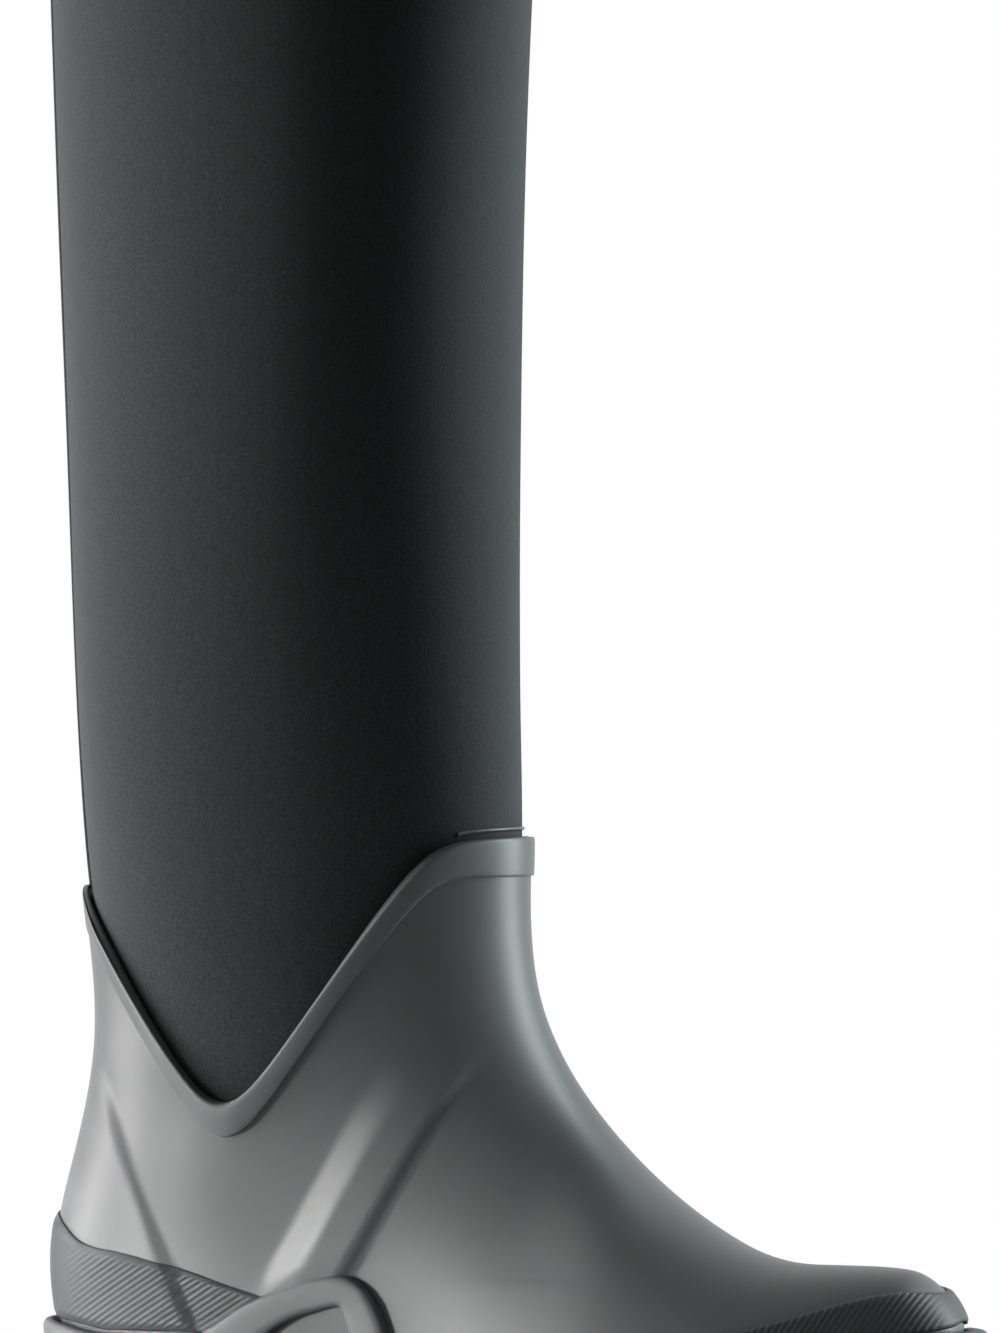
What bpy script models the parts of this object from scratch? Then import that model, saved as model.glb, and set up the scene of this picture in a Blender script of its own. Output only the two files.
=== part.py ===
"""Tall pull-on yard boot for the right foot: a neoprene bootie in a moulded rubber foot.

Metres, +Z up, toe towards +X, inner side of the foot towards +Y, sole on z = 0.
Every upper layer is an offset of one last surface, whose side view holds the front and
back lines and the topline, and whose widths come from the foot's plan and the shaft's girths.
Lengths named from the heel are measured along X from the back of the last.
"""
import math

import bmesh
import bpy
import numpy as np

for old in list(bpy.data.objects):
    bpy.data.objects.remove(old, do_unlink=True)

# Last: plan of the foot
LAST_LENGTH = 0.2725
HEEL_RADIUS = 0.031
TOE_RADIUS = 0.034
HEEL_STATION = 0.037
HEEL_HALF_WIDTH_INNER = 0.0315
HEEL_HALF_WIDTH_OUTER = 0.0320
WAIST_STATION = 0.110
WAIST_HALF_WIDTH_INNER = 0.0310
WAIST_HALF_WIDTH_OUTER = 0.0350
BALL_STATION_INNER = 0.196
BALL_HALF_WIDTH_INNER = 0.0450
BALL_STATION_OUTER = 0.178
BALL_HALF_WIDTH_OUTER = 0.0450
TOE_STATION = 0.246
TOE_HALF_WIDTH_INNER = 0.0330
TOE_HALF_WIDTH_OUTER = 0.0310

# Last: underside, and the corner between underside and wall
UNDERSIDE_START = -0.0200
HEEL_SEAT_STATION = 0.0350
BALL_SEAT_STATION = 0.1850
HEEL_SEAT_HEIGHT = 0.0215
WAIST_SEAT_HEIGHT = 0.0190
BALL_SEAT_HEIGHT = 0.0140
TOE_SEAT_HEIGHT = 0.0245
BOTTOM_CORNER = 0.0090
LASTING_MARGIN = 0.0040

# Last: front line from toe to collar, each point from the heel and above the ground
TOE_TIP_ROUND = 0.0045
TOE_TIP_LIFT = 0.0015
TOE_CREST_FROM_HEEL = 0.2530
TOE_CREST_HEIGHT = 0.0464
VAMP_FROM_HEEL = 0.2250
VAMP_HEIGHT = 0.0480
INSTEP_LOW_FROM_HEEL = 0.1995
INSTEP_LOW_HEIGHT = 0.0590
INSTEP_HIGH_FROM_HEEL = 0.1625
INSTEP_HIGH_HEIGHT = 0.0925
ANKLE_FRONT_FROM_HEEL = 0.1430
ANKLE_FRONT_HEIGHT = 0.1270
SHAFT_FRONT_FROM_HEEL = 0.1389
SHAFT_FRONT_HEIGHT = 0.1750
CALF_FRONT_FROM_HEEL = 0.1375
CALF_FRONT_HEIGHT = 0.2620
COLLAR_FRONT_FROM_HEEL = 0.1430

# Last: back line from heel to collar
HEEL_BULGE = 0.0022
HEEL_BULGE_HEIGHT = 0.0520
HEEL_NECK_FROM_HEEL = 0.0036
HEEL_NECK_HEIGHT = 0.0820
ACHILLES_FROM_HEEL = 0.0101
ACHILLES_HEIGHT = 0.1180
ANKLE_BACK_FROM_HEEL = 0.0065
ANKLE_BACK_HEIGHT = 0.1650
SHAFT_BACK_FROM_HEEL = 0.0043
SHAFT_BACK_HEIGHT = 0.1900
CALF_BACK_FROM_HEEL = -0.0005
CALF_BACK_HEIGHT = 0.3100
COLLAR_BACK_FROM_HEEL = -0.0068
COLLAR_HEIGHT = 0.4560

# Last: half widths of the ankle and the shaft, and where they take over from the foot's plan
LEG_MIDDLE_FROM_HEEL = 0.0780
VAMP_START_FROM_HEEL = 0.1460
VAMP_FULL_FROM_HEEL = 0.1800
SIDE_BLEND_HEIGHT = 0.0550
SQUARE_SECTION_HEIGHT = 0.0400
ROUND_SECTION_HEIGHT = 0.1400
WAIST_GIRTH_HEIGHT = 0.0200
INSTEP_GIRTH_HEIGHT = 0.0600
INSTEP_GIRTH_TUCK = 0.0010
ANKLE_HEIGHT = 0.1000
ANKLE_HALF_WIDTH = 0.0400
SHAFT_HALF_WIDTH = 0.0470
CALF_HALF_WIDTH = 0.0545
COLLAR_HALF_WIDTH = 0.0570

# Topline of the rubber shell, in side view
V_FROM_HEEL = 0.0595
V_HEIGHT = 0.1007
V_SLOPE = 1.34
V_ROUND = 0.0090
TOPLINE_FRONT_HEIGHT = 0.1800
TOPLINE_FRONT_ROUND = 0.0090
TOPLINE_BACK_LIFT = 0.0045
TOPLINE_BACK_LENGTH = 0.0220
BAND_WIDTH = 0.0090
BAND_FRONT_WIDTH = 0.0135
BAND_THICKNESS = 0.0010

# Layers, outward and inward from the last surface
FIT_GAP = 0.0003
SHELL_WALL = 0.0024
STIFFENER_WALL = 0.0008
GUARD_THICKNESS = 0.0014
BOOTIE_WALL = 0.0040
LINING_WALL = 0.0007

# Moulded ridge and crease of the shell
RELIEF_FOOT_HEIGHT = 0.0450
RELIEF_TOP_HEIGHT = 0.1100
RELIEF_FOOT_FADE = 0.0140
RELIEF_TOP_FADE = 0.0200
RIDGE_RISE = 0.0016
RIDGE_WIDTH = 0.0100
RIDGE_TOP_FROM_HEEL = 0.1230
RIDGE_FOOT_FROM_HEEL = 0.0830
CREASE_DEPTH = 0.0008
CREASE_WIDTH = 0.0060
CREASE_TOP_FROM_HEEL = 0.0240
CREASE_FOOT_FROM_HEEL = 0.0440

# Guards, as upper edges in side view
TOE_GUARD_HEIGHT = 0.0442
TOE_GUARD_END_FROM_HEEL = 0.1700
TOE_GUARD_TIP_LENGTH = 0.0095
HEEL_GUARD_HEIGHT = 0.0650
HEEL_GUARD_SIDE_HEIGHT = 0.0530
HEEL_GUARD_END_FROM_HEEL = 0.0460
HEEL_GUARD_PEAK_LENGTH = 0.0160
HEEL_GUARD_LEVEL_LENGTH = 0.0300
HEEL_GUARD_LEAN = 0.12
HEEL_GUARD_FALL = 0.28
GUARD_END_RISE = 0.0060

# Arch loops at the waist, in side view
LOOP_BACK_FROM_HEEL = 0.0560
LOOP_FRONT_FROM_HEEL = 0.1090
LOOP_PEAK_FROM_HEEL = 0.0910
LOOP_PEAK_HEIGHT = 0.0485
LOOP_BAND = 0.0085
LOOP_RISE = 0.0030
LOOP_FOOT_GAP = 0.0012

# Sole
LEDGE_RISE = 0.0080
HEEL_LIP_RISE = 0.0040
HEEL_LIP_LENGTH = 0.0220
LEDGE_WIDTH = 0.0055
LEDGE_DROP = 0.0040
SOLE_WALL_INSET = 0.0025
BOARD_THICKNESS = 0.0020
BOARD_INSET = 0.0010
MIDSOLE_FOREFOOT = 0.0030
MIDSOLE_HEEL = 0.0060
LUG_HEIGHT = 0.0040
WAIST_CLEARANCE = 0.0075
HEEL_BREAST_FROM_HEEL = 0.0760
TREAD_START_FROM_HEEL = 0.1400
LUG_MARGIN = 0.0016
SHANK_LENGTH = 0.1000
SHANK_WIDTH = 0.0200
SHANK_THICKNESS = 0.0015
SHANK_START_FROM_HEEL = 0.0500
FILLER_LENGTH = 0.0420
FILLER_WIDTH = 0.0300
FILLER_HEIGHT = 0.0050
FILLER_FROM_HEEL = 0.0190

# Loose footbed
FOOTBED_THICKNESS = 0.0040
FOOTBED_SIDE_GAP = 0.0014
FOOTBED_CUP = 0.0030
COVER_THICKNESS = 0.0010

# Collar binding and back seam
BINDING_DEPTH = 0.0120
BINDING_THICKNESS = 0.0011
SEAM_TAPE_WIDTH = 0.0120
SEAM_TAPE_THICKNESS = 0.0009

HALF = LAST_LENGTH / 2


def natural_spline(knots, values):
    """Return the natural cubic spline through the given values as a function."""
    t = np.asarray(knots, dtype=float)
    y = np.asarray(values, dtype=float)
    h = np.diff(t)
    n = len(t)
    a = np.eye(n)
    b = np.zeros((n,) + y.shape[1:])
    for i in range(1, n - 1):
        a[i, i - 1:i + 2] = (h[i - 1], 2 * (h[i - 1] + h[i]), h[i])
        b[i] = 6 * ((y[i + 1] - y[i]) / h[i] - (y[i] - y[i - 1]) / h[i - 1])
    m = np.linalg.solve(a, b)

    def curve(q):
        q = np.clip(np.asarray(q, dtype=float), t[0], t[-1])
        i = np.clip(np.searchsorted(t, q) - 1, 0, n - 2)
        u = (q - t[i]) / h[i]
        if y.ndim > 1:
            u = u[..., None]
            hh = h[i][..., None]
        else:
            hh = h[i]
        cubic = ((1 - u) ** 3 - (1 - u)) * m[i] + (u ** 3 - u) * m[i + 1]
        return (1 - u) * y[i] + u * y[i + 1] + hh * hh / 6 * cubic

    return curve


def profile(points, samples=1200):
    """Return a dense smooth polyline through side-view points, with its lengths."""
    p = np.array(points)
    chord = np.concatenate(([0], np.cumsum(np.hypot(*np.diff(p, axis=0).T))))
    dense = natural_spline(chord, p)(np.linspace(0, chord[-1], samples))
    length = np.concatenate(([0], np.cumsum(np.hypot(*np.diff(dense, axis=0).T))))
    return dense, length


def smooth(a, b, t):
    """Ease from 0 at a to 1 at b."""
    u = np.clip((t - a) / (b - a), 0, 1)
    return u * u * (3 - 2 * u)


seat = natural_spline(
    (UNDERSIDE_START, HEEL_SEAT_STATION, WAIST_STATION, BALL_SEAT_STATION, LAST_LENGTH),
    (HEEL_SEAT_HEIGHT, HEEL_SEAT_HEIGHT, WAIST_SEAT_HEIGHT, BALL_SEAT_HEIGHT, TOE_SEAT_HEIGHT))


def plan_factor(waist_half, ball_station, ball_half, heel_half, toe_half):
    """Return one side's plan width over sin(angle), as a spline in the angle."""
    def angle(x):
        return math.acos(x / HALF - 1)
    stations = (TOE_STATION, ball_station, WAIST_STATION, HEEL_STATION)
    halves = (toe_half, ball_half, waist_half, heel_half)
    knots = [0.0] + [angle(x) for x in stations] + [math.pi]
    values = [w / math.sin(angle(x)) for x, w in zip(stations, halves)]
    values = [math.sqrt(TOE_RADIUS * HALF)] + values + [math.sqrt(HEEL_RADIUS * HALF)]
    return natural_spline(knots, values)


inner_factor = plan_factor(WAIST_HALF_WIDTH_INNER, BALL_STATION_INNER, BALL_HALF_WIDTH_INNER,
                           HEEL_HALF_WIDTH_INNER, TOE_HALF_WIDTH_INNER)
outer_factor = plan_factor(WAIST_HALF_WIDTH_OUTER, BALL_STATION_OUTER, BALL_HALF_WIDTH_OUTER,
                           HEEL_HALF_WIDTH_OUTER, TOE_HALF_WIDTH_OUTER)


def plan_half(x, inner):
    """Return the foot's plan half width at x on the inner or the outer side."""
    angle = np.arccos(np.clip(np.asarray(x) / HALF - 1, -1, 1))
    return np.sin(angle) * np.where(inner, inner_factor(angle), outer_factor(angle))


def seat_top(x):
    """Return the height at which the wall starts above the rounded bottom corner."""
    return seat(x) + BOTTOM_CORNER


front_line, front_length = profile((
    (LAST_LENGTH, float(seat_top(LAST_LENGTH))),
    (LAST_LENGTH - TOE_TIP_ROUND, 0.5 * (float(seat_top(LAST_LENGTH)) + TOE_CREST_HEIGHT) + TOE_TIP_LIFT),
    (TOE_CREST_FROM_HEEL, TOE_CREST_HEIGHT),
    (VAMP_FROM_HEEL, VAMP_HEIGHT),
    (INSTEP_LOW_FROM_HEEL, INSTEP_LOW_HEIGHT),
    (INSTEP_HIGH_FROM_HEEL, INSTEP_HIGH_HEIGHT),
    (ANKLE_FRONT_FROM_HEEL, ANKLE_FRONT_HEIGHT),
    (SHAFT_FRONT_FROM_HEEL, SHAFT_FRONT_HEIGHT),
    (CALF_FRONT_FROM_HEEL, CALF_FRONT_HEIGHT),
    (COLLAR_FRONT_FROM_HEEL, COLLAR_HEIGHT)))
back_line, back_length = profile((
    (0.0, float(seat_top(0.0))),
    (-HEEL_BULGE, HEEL_BULGE_HEIGHT),
    (HEEL_NECK_FROM_HEEL, HEEL_NECK_HEIGHT),
    (ACHILLES_FROM_HEEL, ACHILLES_HEIGHT),
    (ANKLE_BACK_FROM_HEEL, ANKLE_BACK_HEIGHT),
    (SHAFT_BACK_FROM_HEEL, SHAFT_BACK_HEIGHT),
    (CALF_BACK_FROM_HEEL, CALF_BACK_HEIGHT),
    (COLLAR_BACK_FROM_HEEL, COLLAR_HEIGHT)))
girth = natural_spline(
    (WAIST_GIRTH_HEIGHT, INSTEP_GIRTH_HEIGHT, ANKLE_HEIGHT, SHAFT_BACK_HEIGHT,
     CALF_BACK_HEIGHT, COLLAR_HEIGHT),
    (WAIST_HALF_WIDTH_OUTER, 0.5 * (WAIST_HALF_WIDTH_OUTER + ANKLE_HALF_WIDTH) - INSTEP_GIRTH_TUCK,
     ANKLE_HALF_WIDTH, SHAFT_HALF_WIDTH, CALF_HALF_WIDTH, COLLAR_HALF_WIDTH))


def front_at(z):
    """Return the front line's distance from the heel at height z."""
    return np.interp(z, np.maximum.accumulate(front_line[:, 1]), front_line[:, 0])


def back_at(z):
    """Return the back line's distance from the heel at height z."""
    return np.interp(z, back_line[:, 1], back_line[:, 0])


def ridge_at(x):
    """Return the front line's height over x, from the instep to the toe."""
    order = np.minimum.accumulate(front_line[:, 0])
    return np.interp(x, order[::-1], front_line[::-1, 1])


def half_width(x, z, inner):
    """Return the last's half width at a side-view point."""
    top = np.maximum(ridge_at(x), seat_top(x) + 1e-6)
    u = np.clip((z - seat_top(x)) / (top - seat_top(x)), 0, 1)
    vamp = plan_half(x, inner) * np.sqrt(np.maximum(1 - u ** 2.2, 0))
    back = back_at(z)
    middle = LEG_MIDDLE_FROM_HEEL
    reach = np.where(x < middle, middle - back, front_at(z) - middle)
    c = np.clip(np.abs(x - middle) / reach, 0, 1)
    power = 3.2 - 1.2 * smooth(SQUARE_SECTION_HEIGHT, ROUND_SECTION_HEIGHT, z)
    leg = girth(z) * np.sqrt(np.maximum(1 - c ** power, 0))
    slid = np.where(x < middle, middle - (middle - x) * middle / (middle - back), x)
    foot = plan_half(slid, inner)
    up = smooth(0, SIDE_BLEND_HEIGHT, z - seat_top(x))
    rear = (1 - up) * foot + up * leg
    share = smooth(VAMP_START_FROM_HEEL, VAMP_FULL_FROM_HEEL, x)
    return (1 - share) * rear + share * vamp


def topline(x):
    """Return the shell's top edge height at x: a rounded V with a level front and a lifted back."""
    rise = np.sqrt((V_SLOPE * (x - V_FROM_HEEL)) ** 2 + V_ROUND ** 2) - V_ROUND
    v = V_HEIGHT + rise + TOPLINE_BACK_LIFT * (1 - smooth(0, TOPLINE_BACK_LENGTH, x))
    level = TOPLINE_FRONT_HEIGHT
    return 0.5 * (v + level - np.sqrt((v - level) ** 2 + TOPLINE_FRONT_ROUND ** 2))


def topline_end(line):
    """Return the index at which a front or back line crosses the topline."""
    return int(np.argmax(line[:, 1] >= topline(line[:, 0])))


front_top = topline_end(front_line)
back_top = topline_end(back_line)


def along(line, length, start, end, v):
    """Return the point a share v along part of a line, by length."""
    at = length[start] + v * (length[end] - length[start])
    return np.stack((np.interp(at, length, line[:, 0]), np.interp(at, length, line[:, 1])), -1)


def side_view(s, v, upper):
    """Return side-view points: s from front to back, v from bottom to top of a panel."""
    f0, f1 = (front_top, len(front_line) - 1) if upper else (0, front_top)
    b0, b1 = (back_top, len(back_line) - 1) if upper else (0, back_top)
    front = along(front_line, front_length, f0, f1, v)
    back = along(back_line, back_length, b0, b1, v)
    s = s[..., None]
    v = v[..., None]

    def edge(i, j, height):
        t = s[..., 0]
        ends = np.array((front_line[i], back_line[j]))
        miss = ends[:, 1] - height(ends[:, 0])
        x = ends[0, 0] + t * (ends[1, 0] - ends[0, 0])
        return np.stack((x, height(x) + (1 - t) * miss[0] + t * miss[1]), -1)

    def collar(x):
        return np.full_like(x, COLLAR_HEIGHT)

    low = edge(f0, b0, topline if upper else seat_top)
    high = edge(f1, b1, collar if upper else topline)
    blend = (1 - v) * low + v * high + (1 - s) * front + s * back
    corners = ((1 - s) * ((1 - v) * front_line[f0] + v * front_line[f1])
               + s * ((1 - v) * back_line[b0] + v * back_line[b1]))
    return blend - corners


def plan_point(theta, inset):
    """Return plan points of the foot at an angle, moved inward by an inset."""
    def outline(a):
        x = HALF * (1 + np.cos(a))
        y = plan_half(x, np.sin(a) > 0) * np.where(np.sin(a) >= 0, 1, -1)
        return np.stack((x, y), -1)
    step = outline(theta + 1e-3) - outline(theta - 1e-3)
    step /= np.linalg.norm(step, axis=-1, keepdims=True)
    inward = np.stack((-step[..., 1], step[..., 0]), -1)
    return outline(theta) + inward * np.asarray(inset)[..., None]


def last_point(theta, rho):
    """Return points of the last: rho -2..0 underside corner, 0..1 foot, 1..2 shaft."""
    theta, rho = np.broadcast_arrays(np.asarray(theta, float), np.asarray(rho, float))
    s = (1 - np.cos(theta)) / 2
    inner = np.sin(theta) > 0
    foot = side_view(s, np.clip(rho, 0, 1), False)
    shaft = side_view(s, np.clip(rho - 1, 0, 1), True)
    xz = np.where((rho > 1)[..., None], shaft, foot)
    y = half_width(xz[..., 0], xz[..., 1], inner) * np.where(np.sin(theta) >= 0, 1, -1)
    wall = np.stack((xz[..., 0], y, xz[..., 1]), -1)
    turn = np.clip(-rho, 0, 1) * math.pi / 2
    inset = BOTTOM_CORNER * (1 - np.cos(turn)) + LASTING_MARGIN * np.clip(-rho - 1, 0, 1)
    xy = plan_point(theta, inset)
    low = np.stack((xy[..., 0], xy[..., 1], seat_top(xy[..., 0]) - BOTTOM_CORNER * np.sin(turn)), -1)
    return np.where((rho < 0)[..., None], low, wall)


def normals_of(place, a, b):
    """Return outward unit normals of a surface given by an angle and a row."""
    da = place(a + 0.04, b) - place(a - 0.04, b)
    db = place(a, b + 0.002) - place(a, b - 0.002)
    n = np.cross(da, db)
    return n / np.maximum(np.linalg.norm(n, axis=-1, keepdims=True), 1e-12)


def layer(place, a, b, offset):
    """Return a surface's points moved outward by an offset, centred on the part's frame."""
    points = place(a, b) + normals_of(place, a, b) * np.asarray(offset)[..., None]
    return points - np.array((HALF, 0, 0))


def material(name, colour, roughness, metallic=0.0):
    """Return a plain Principled material."""
    made = bpy.data.materials.new(name)
    made.use_nodes = True
    shader = made.node_tree.nodes["Principled BSDF"]
    shader.inputs["Base Color"].default_value = (*colour, 1)
    shader.inputs["Roughness"].default_value = roughness
    shader.inputs["Metallic"].default_value = metallic
    return made


NEOPRENE = (0.030, 0.031, 0.033)
RUBBER = (0.090, 0.092, 0.096)
LINING = (0.055, 0.056, 0.060)


def add_node(name, vertices, faces, colour, roughness, metallic=0.0):
    """Make one named closed body with outward faces and its own material."""
    mesh = bpy.data.meshes.new(name)
    mesh.from_pydata([tuple(map(float, v)) for v in vertices], [], faces)
    work = bmesh.new()
    work.from_mesh(mesh)
    bmesh.ops.remove_doubles(work, verts=work.verts, dist=1e-6)
    bmesh.ops.dissolve_degenerate(work, edges=work.edges, dist=1e-6)
    bmesh.ops.triangulate(work, faces=work.faces)
    bmesh.ops.recalc_face_normals(work, faces=work.faces)
    work.to_mesh(mesh)
    work.free()
    mesh.materials.append(material(name, colour, roughness, metallic))
    made = bpy.data.objects.new(name, mesh)
    bpy.context.scene.collection.objects.link(made)
    return made


def grid_faces(rows, columns, closed, start=0):
    """Return the quads of a grid of points, closed around when asked."""
    faces = []
    for r in range(rows - 1):
        for c in range(columns if closed else columns - 1):
            d = (c + 1) % columns
            faces.append((start + r * columns + c, start + r * columns + d,
                          start + (r + 1) * columns + d, start + (r + 1) * columns + c))
    return faces


def cross_faces(columns, start=0):
    """Return quads across a closed ring, from each point to its mirror point."""
    faces = []
    half = columns // 2
    for c in range(half):
        a, b = c, c + 1
        p, q = (columns - b) % columns, (columns - a) % columns
        faces.append(tuple(start + i for i in dict.fromkeys((a, b, p, q))))
    return faces


def wall_between(outer, inner, closed, cap_bottom=False):
    """Return the vertices and faces of a wall between two matching grids."""
    rows, columns = outer.shape[:2]
    count = rows * columns
    vertices = list(outer.reshape(-1, 3)) + list(inner.reshape(-1, 3))
    faces = grid_faces(rows, columns, closed) + grid_faces(rows, columns, closed, count)
    last = (rows - 1) * columns
    for c in range(columns if closed else columns - 1):
        d = (c + 1) % columns
        faces.append((last + c, last + d, count + last + d, count + last + c))
        if not cap_bottom:
            faces.append((c, d, count + d, count + c))
    if cap_bottom:
        faces += cross_faces(columns) + cross_faces(columns, count)
    if not closed:
        for r in range(rows - 1):
            for c in (0, columns - 1):
                a, b = r * columns + c, (r + 1) * columns + c
                faces.append((a, b, count + b, count + a))
    return vertices, faces


# Columns crowd round the toe, the heel and the low point of the topline
side_angles = np.radians((0, 9, 18, 28, 39, 51, 63, 74, 84, 93, 99, 103, 107, 113,
                          121, 130, 140, 150, 160, 170, 180))
around = np.concatenate((side_angles, 2 * math.pi - side_angles[-2:0:-1]))
COLUMNS = len(around)
corner_rows = np.array((-2.0, -1.0, -0.5))
foot_rows = np.array((0.0, 0.04, 0.10, 0.18, 0.27, 0.37, 0.48, 0.59, 0.70, 0.80, 0.90, 1.0))
shaft_rows = np.array((1.12, 1.30, 1.54, 1.78, 1.95, 2.0))
theta, foot_rho = np.meshgrid(around, np.concatenate((corner_rows, foot_rows)))
theta_all, all_rho = np.meshgrid(around, np.concatenate((corner_rows, foot_rows, shaft_rows)))


def column_length(angle):
    """Return the length of a column of the shell near its top, per unit of rho."""
    a = last_point(angle, np.full_like(angle, 0.9))
    b = last_point(angle, np.full_like(angle, 1.0))
    return np.linalg.norm(b - a, axis=-1) / 0.1


# Bootie: a foot sock sewn to a shaft just under the topline, and the lining of both
sock_theta, sock_rho = np.meshgrid(around, np.concatenate((corner_rows, foot_rows[:-1])))
shaft_theta, shaft_rho = np.meshgrid(around, np.concatenate((foot_rows[-2:], shaft_rows)))
shaft_rho[0] += FIT_GAP / column_length(around)


def foam_wall(name, a, b, closed_below):
    """Make one piece of the bootie between the last surface and its inner face."""
    on_last = np.zeros_like(a)
    add_node(name, *wall_between(layer(last_point, a, b, on_last),
                                 layer(last_point, a, b, on_last - BOOTIE_WALL), True, closed_below),
             NEOPRENE, 0.85)


foam_wall("neoprene_sock", sock_theta, sock_rho, True)
foam_wall("neoprene_shaft", shaft_theta, shaft_rho, False)
flat = np.zeros_like(theta_all)
lining_out = -BOOTIE_WALL - FIT_GAP
add_node("bootie_lining",
         *wall_between(layer(last_point, theta_all, all_rho, flat + lining_out),
                       layer(last_point, theta_all, all_rho, flat + lining_out - LINING_WALL), True, True),
         LINING, 0.9)


def side_points(theta, rho):
    """Return the side-view coordinates of last points."""
    p = last_point(theta, rho)
    return p[..., 0], p[..., 2]


def shell_relief(theta, rho):
    """Return the moulded ridge and crease as an added wall thickness."""
    x, z = side_points(theta, rho)
    t = (z - RELIEF_FOOT_HEIGHT) / (RELIEF_TOP_HEIGHT - RELIEF_FOOT_HEIGHT)
    foot_fade = smooth(-0.5, 0.5, (z - RELIEF_FOOT_HEIGHT) / RELIEF_FOOT_FADE)
    fade = foot_fade * (1 - smooth(-0.5, 0.5, (z - RELIEF_TOP_HEIGHT) / RELIEF_TOP_FADE))
    ridge = RIDGE_FOOT_FROM_HEEL + t * (RIDGE_TOP_FROM_HEEL - RIDGE_FOOT_FROM_HEEL)
    crease = CREASE_FOOT_FROM_HEEL + t * (CREASE_TOP_FROM_HEEL - CREASE_FOOT_FROM_HEEL)
    raised = RIDGE_RISE * np.exp(-((x - ridge) / RIDGE_WIDTH) ** 2)
    sunk = CREASE_DEPTH * np.exp(-((x - crease) / CREASE_WIDTH) ** 2)
    return fade * (raised - sunk)


# Stiffeners take rows and columns of the same grid, so that every layer is faceted alike
toe_patch = np.ix_(range(2, 7), np.arange(-5, 6) % COLUMNS)
heel_patch = np.ix_(range(2, 9), np.arange(-5, 6) + COLUMNS // 2)
stiffened = np.zeros_like(theta)
stiffened[toe_patch] = 1
stiffened[heel_patch] = 1


def stiffener(name, patch):
    """Make a formed insert between the bootie and the shell."""
    low = np.full_like(theta[patch], FIT_GAP)
    add_node(name, *wall_between(layer(last_point, theta[patch], foot_rho[patch], low + STIFFENER_WALL),
                                 layer(last_point, theta[patch], foot_rho[patch], low), False),
             (0.62, 0.55, 0.42), 0.7)


stiffener("toe_stiffener", toe_patch)
stiffener("heel_stiffener", heel_patch)

# Shell and its topline band
shell_out = FIT_GAP + SHELL_WALL
under = FIT_GAP + stiffened * (STIFFENER_WALL + FIT_GAP)
add_node("rubber_shell",
         *wall_between(layer(last_point, theta, foot_rho, shell_out + shell_relief(theta, foot_rho)),
                       layer(last_point, theta, foot_rho, under), True),
         RUBBER, 0.45)


band_widths = BAND_WIDTH + (BAND_FRONT_WIDTH - BAND_WIDTH) * smooth(0.3, 1, np.cos(around))
band_share = band_widths / column_length(around)
band_steps = np.linspace(0, 1, 4)
band_rho = 1 - band_share[None, :] * (1 - band_steps[:, None])
band_theta = np.broadcast_to(around, band_rho.shape)
band_in = np.full_like(band_rho, shell_out + FIT_GAP)
band_in = band_in + np.maximum(shell_relief(band_theta, band_rho), 0)
add_node("topline_band",
         *wall_between(layer(last_point, band_theta, band_rho, band_in + BAND_THICKNESS),
                       layer(last_point, band_theta, band_rho, band_in), True),
         (0.080, 0.082, 0.086), 0.4)

def height_rho(angle, height, start=0.0):
    """Return the rho at which a column of the last reaches a height."""
    rho = np.linspace(start, 1, 60)
    found = []
    for a, h in zip(np.atleast_1d(angle), np.broadcast_to(height, np.shape(np.atleast_1d(angle)))):
        z = last_point(np.full_like(rho, a), rho)[:, 2]
        found.append(np.interp(h, np.maximum.accumulate(z), rho))
    return np.array(found)


def ledge(x):
    """Return the height of the sole's ledge under the shell's wall."""
    return seat(x) + LEDGE_RISE + HEEL_LIP_RISE * (1 - smooth(-0.45 * HEEL_LIP_LENGTH, HEEL_LIP_LENGTH, x))


def guard(name, middle, end, lean, top_height):
    """Wrap a band over the shell from the ledge up to a side-view height."""
    turns = np.linspace(-1, 1, 27)
    rows = np.linspace(0, 1, 5)
    rho = []
    angles = []
    for v in rows:
        angle = middle + turns * end * (1 + lean * v)
        x = HALF * (1 + np.cos(angle))
        rest = np.maximum(seat_top(x), ledge(x - LEDGE_WIDTH - 2 * GUARD_THICKNESS))
        low = height_rho(angle, rest + 4 * FIT_GAP)
        high = np.maximum(height_rho(angle, top_height(x)), low + 0.02)
        angles.append(angle)
        rho.append(low + (high - low) * v)
    angles, rho = np.array(angles), np.array(rho)
    base = shell_out + 2 * FIT_GAP + np.maximum(shell_relief(angles, rho), 0)
    add_node(name, *wall_between(layer(last_point, angles, rho, base + GUARD_THICKNESS),
                                 layer(last_point, angles, rho, base), False), RUBBER, 0.5)


def toe_guard_top(x):
    """Return the toe guard's upper edge, low at the waist and full at the tip."""
    reach = LAST_LENGTH - TOE_GUARD_TIP_LENGTH - TOE_GUARD_END_FROM_HEEL
    share = np.clip((x - TOE_GUARD_END_FROM_HEEL) / reach, 0, 1) ** 2
    return (seat_top(x) + GUARD_END_RISE) * (1 - share) + TOE_GUARD_HEIGHT * share


def heel_guard_top(x):
    """Return the heel guard's upper edge, peaked at the back and falling forward."""
    side = smooth(0, HEEL_GUARD_PEAK_LENGTH, x)
    fall = HEEL_GUARD_FALL * np.maximum(x - HEEL_GUARD_LEVEL_LENGTH, 0)
    return HEEL_GUARD_HEIGHT + (HEEL_GUARD_SIDE_HEIGHT - HEEL_GUARD_HEIGHT) * side - fall


guard("toe_guard", 0.0, math.acos(TOE_GUARD_END_FROM_HEEL / HALF - 1), 0.0, toe_guard_top)
guard("heel_guard", math.pi, math.acos(1 - HEEL_GUARD_END_FROM_HEEL / HALF), HEEL_GUARD_LEAN, heel_guard_top)


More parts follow.
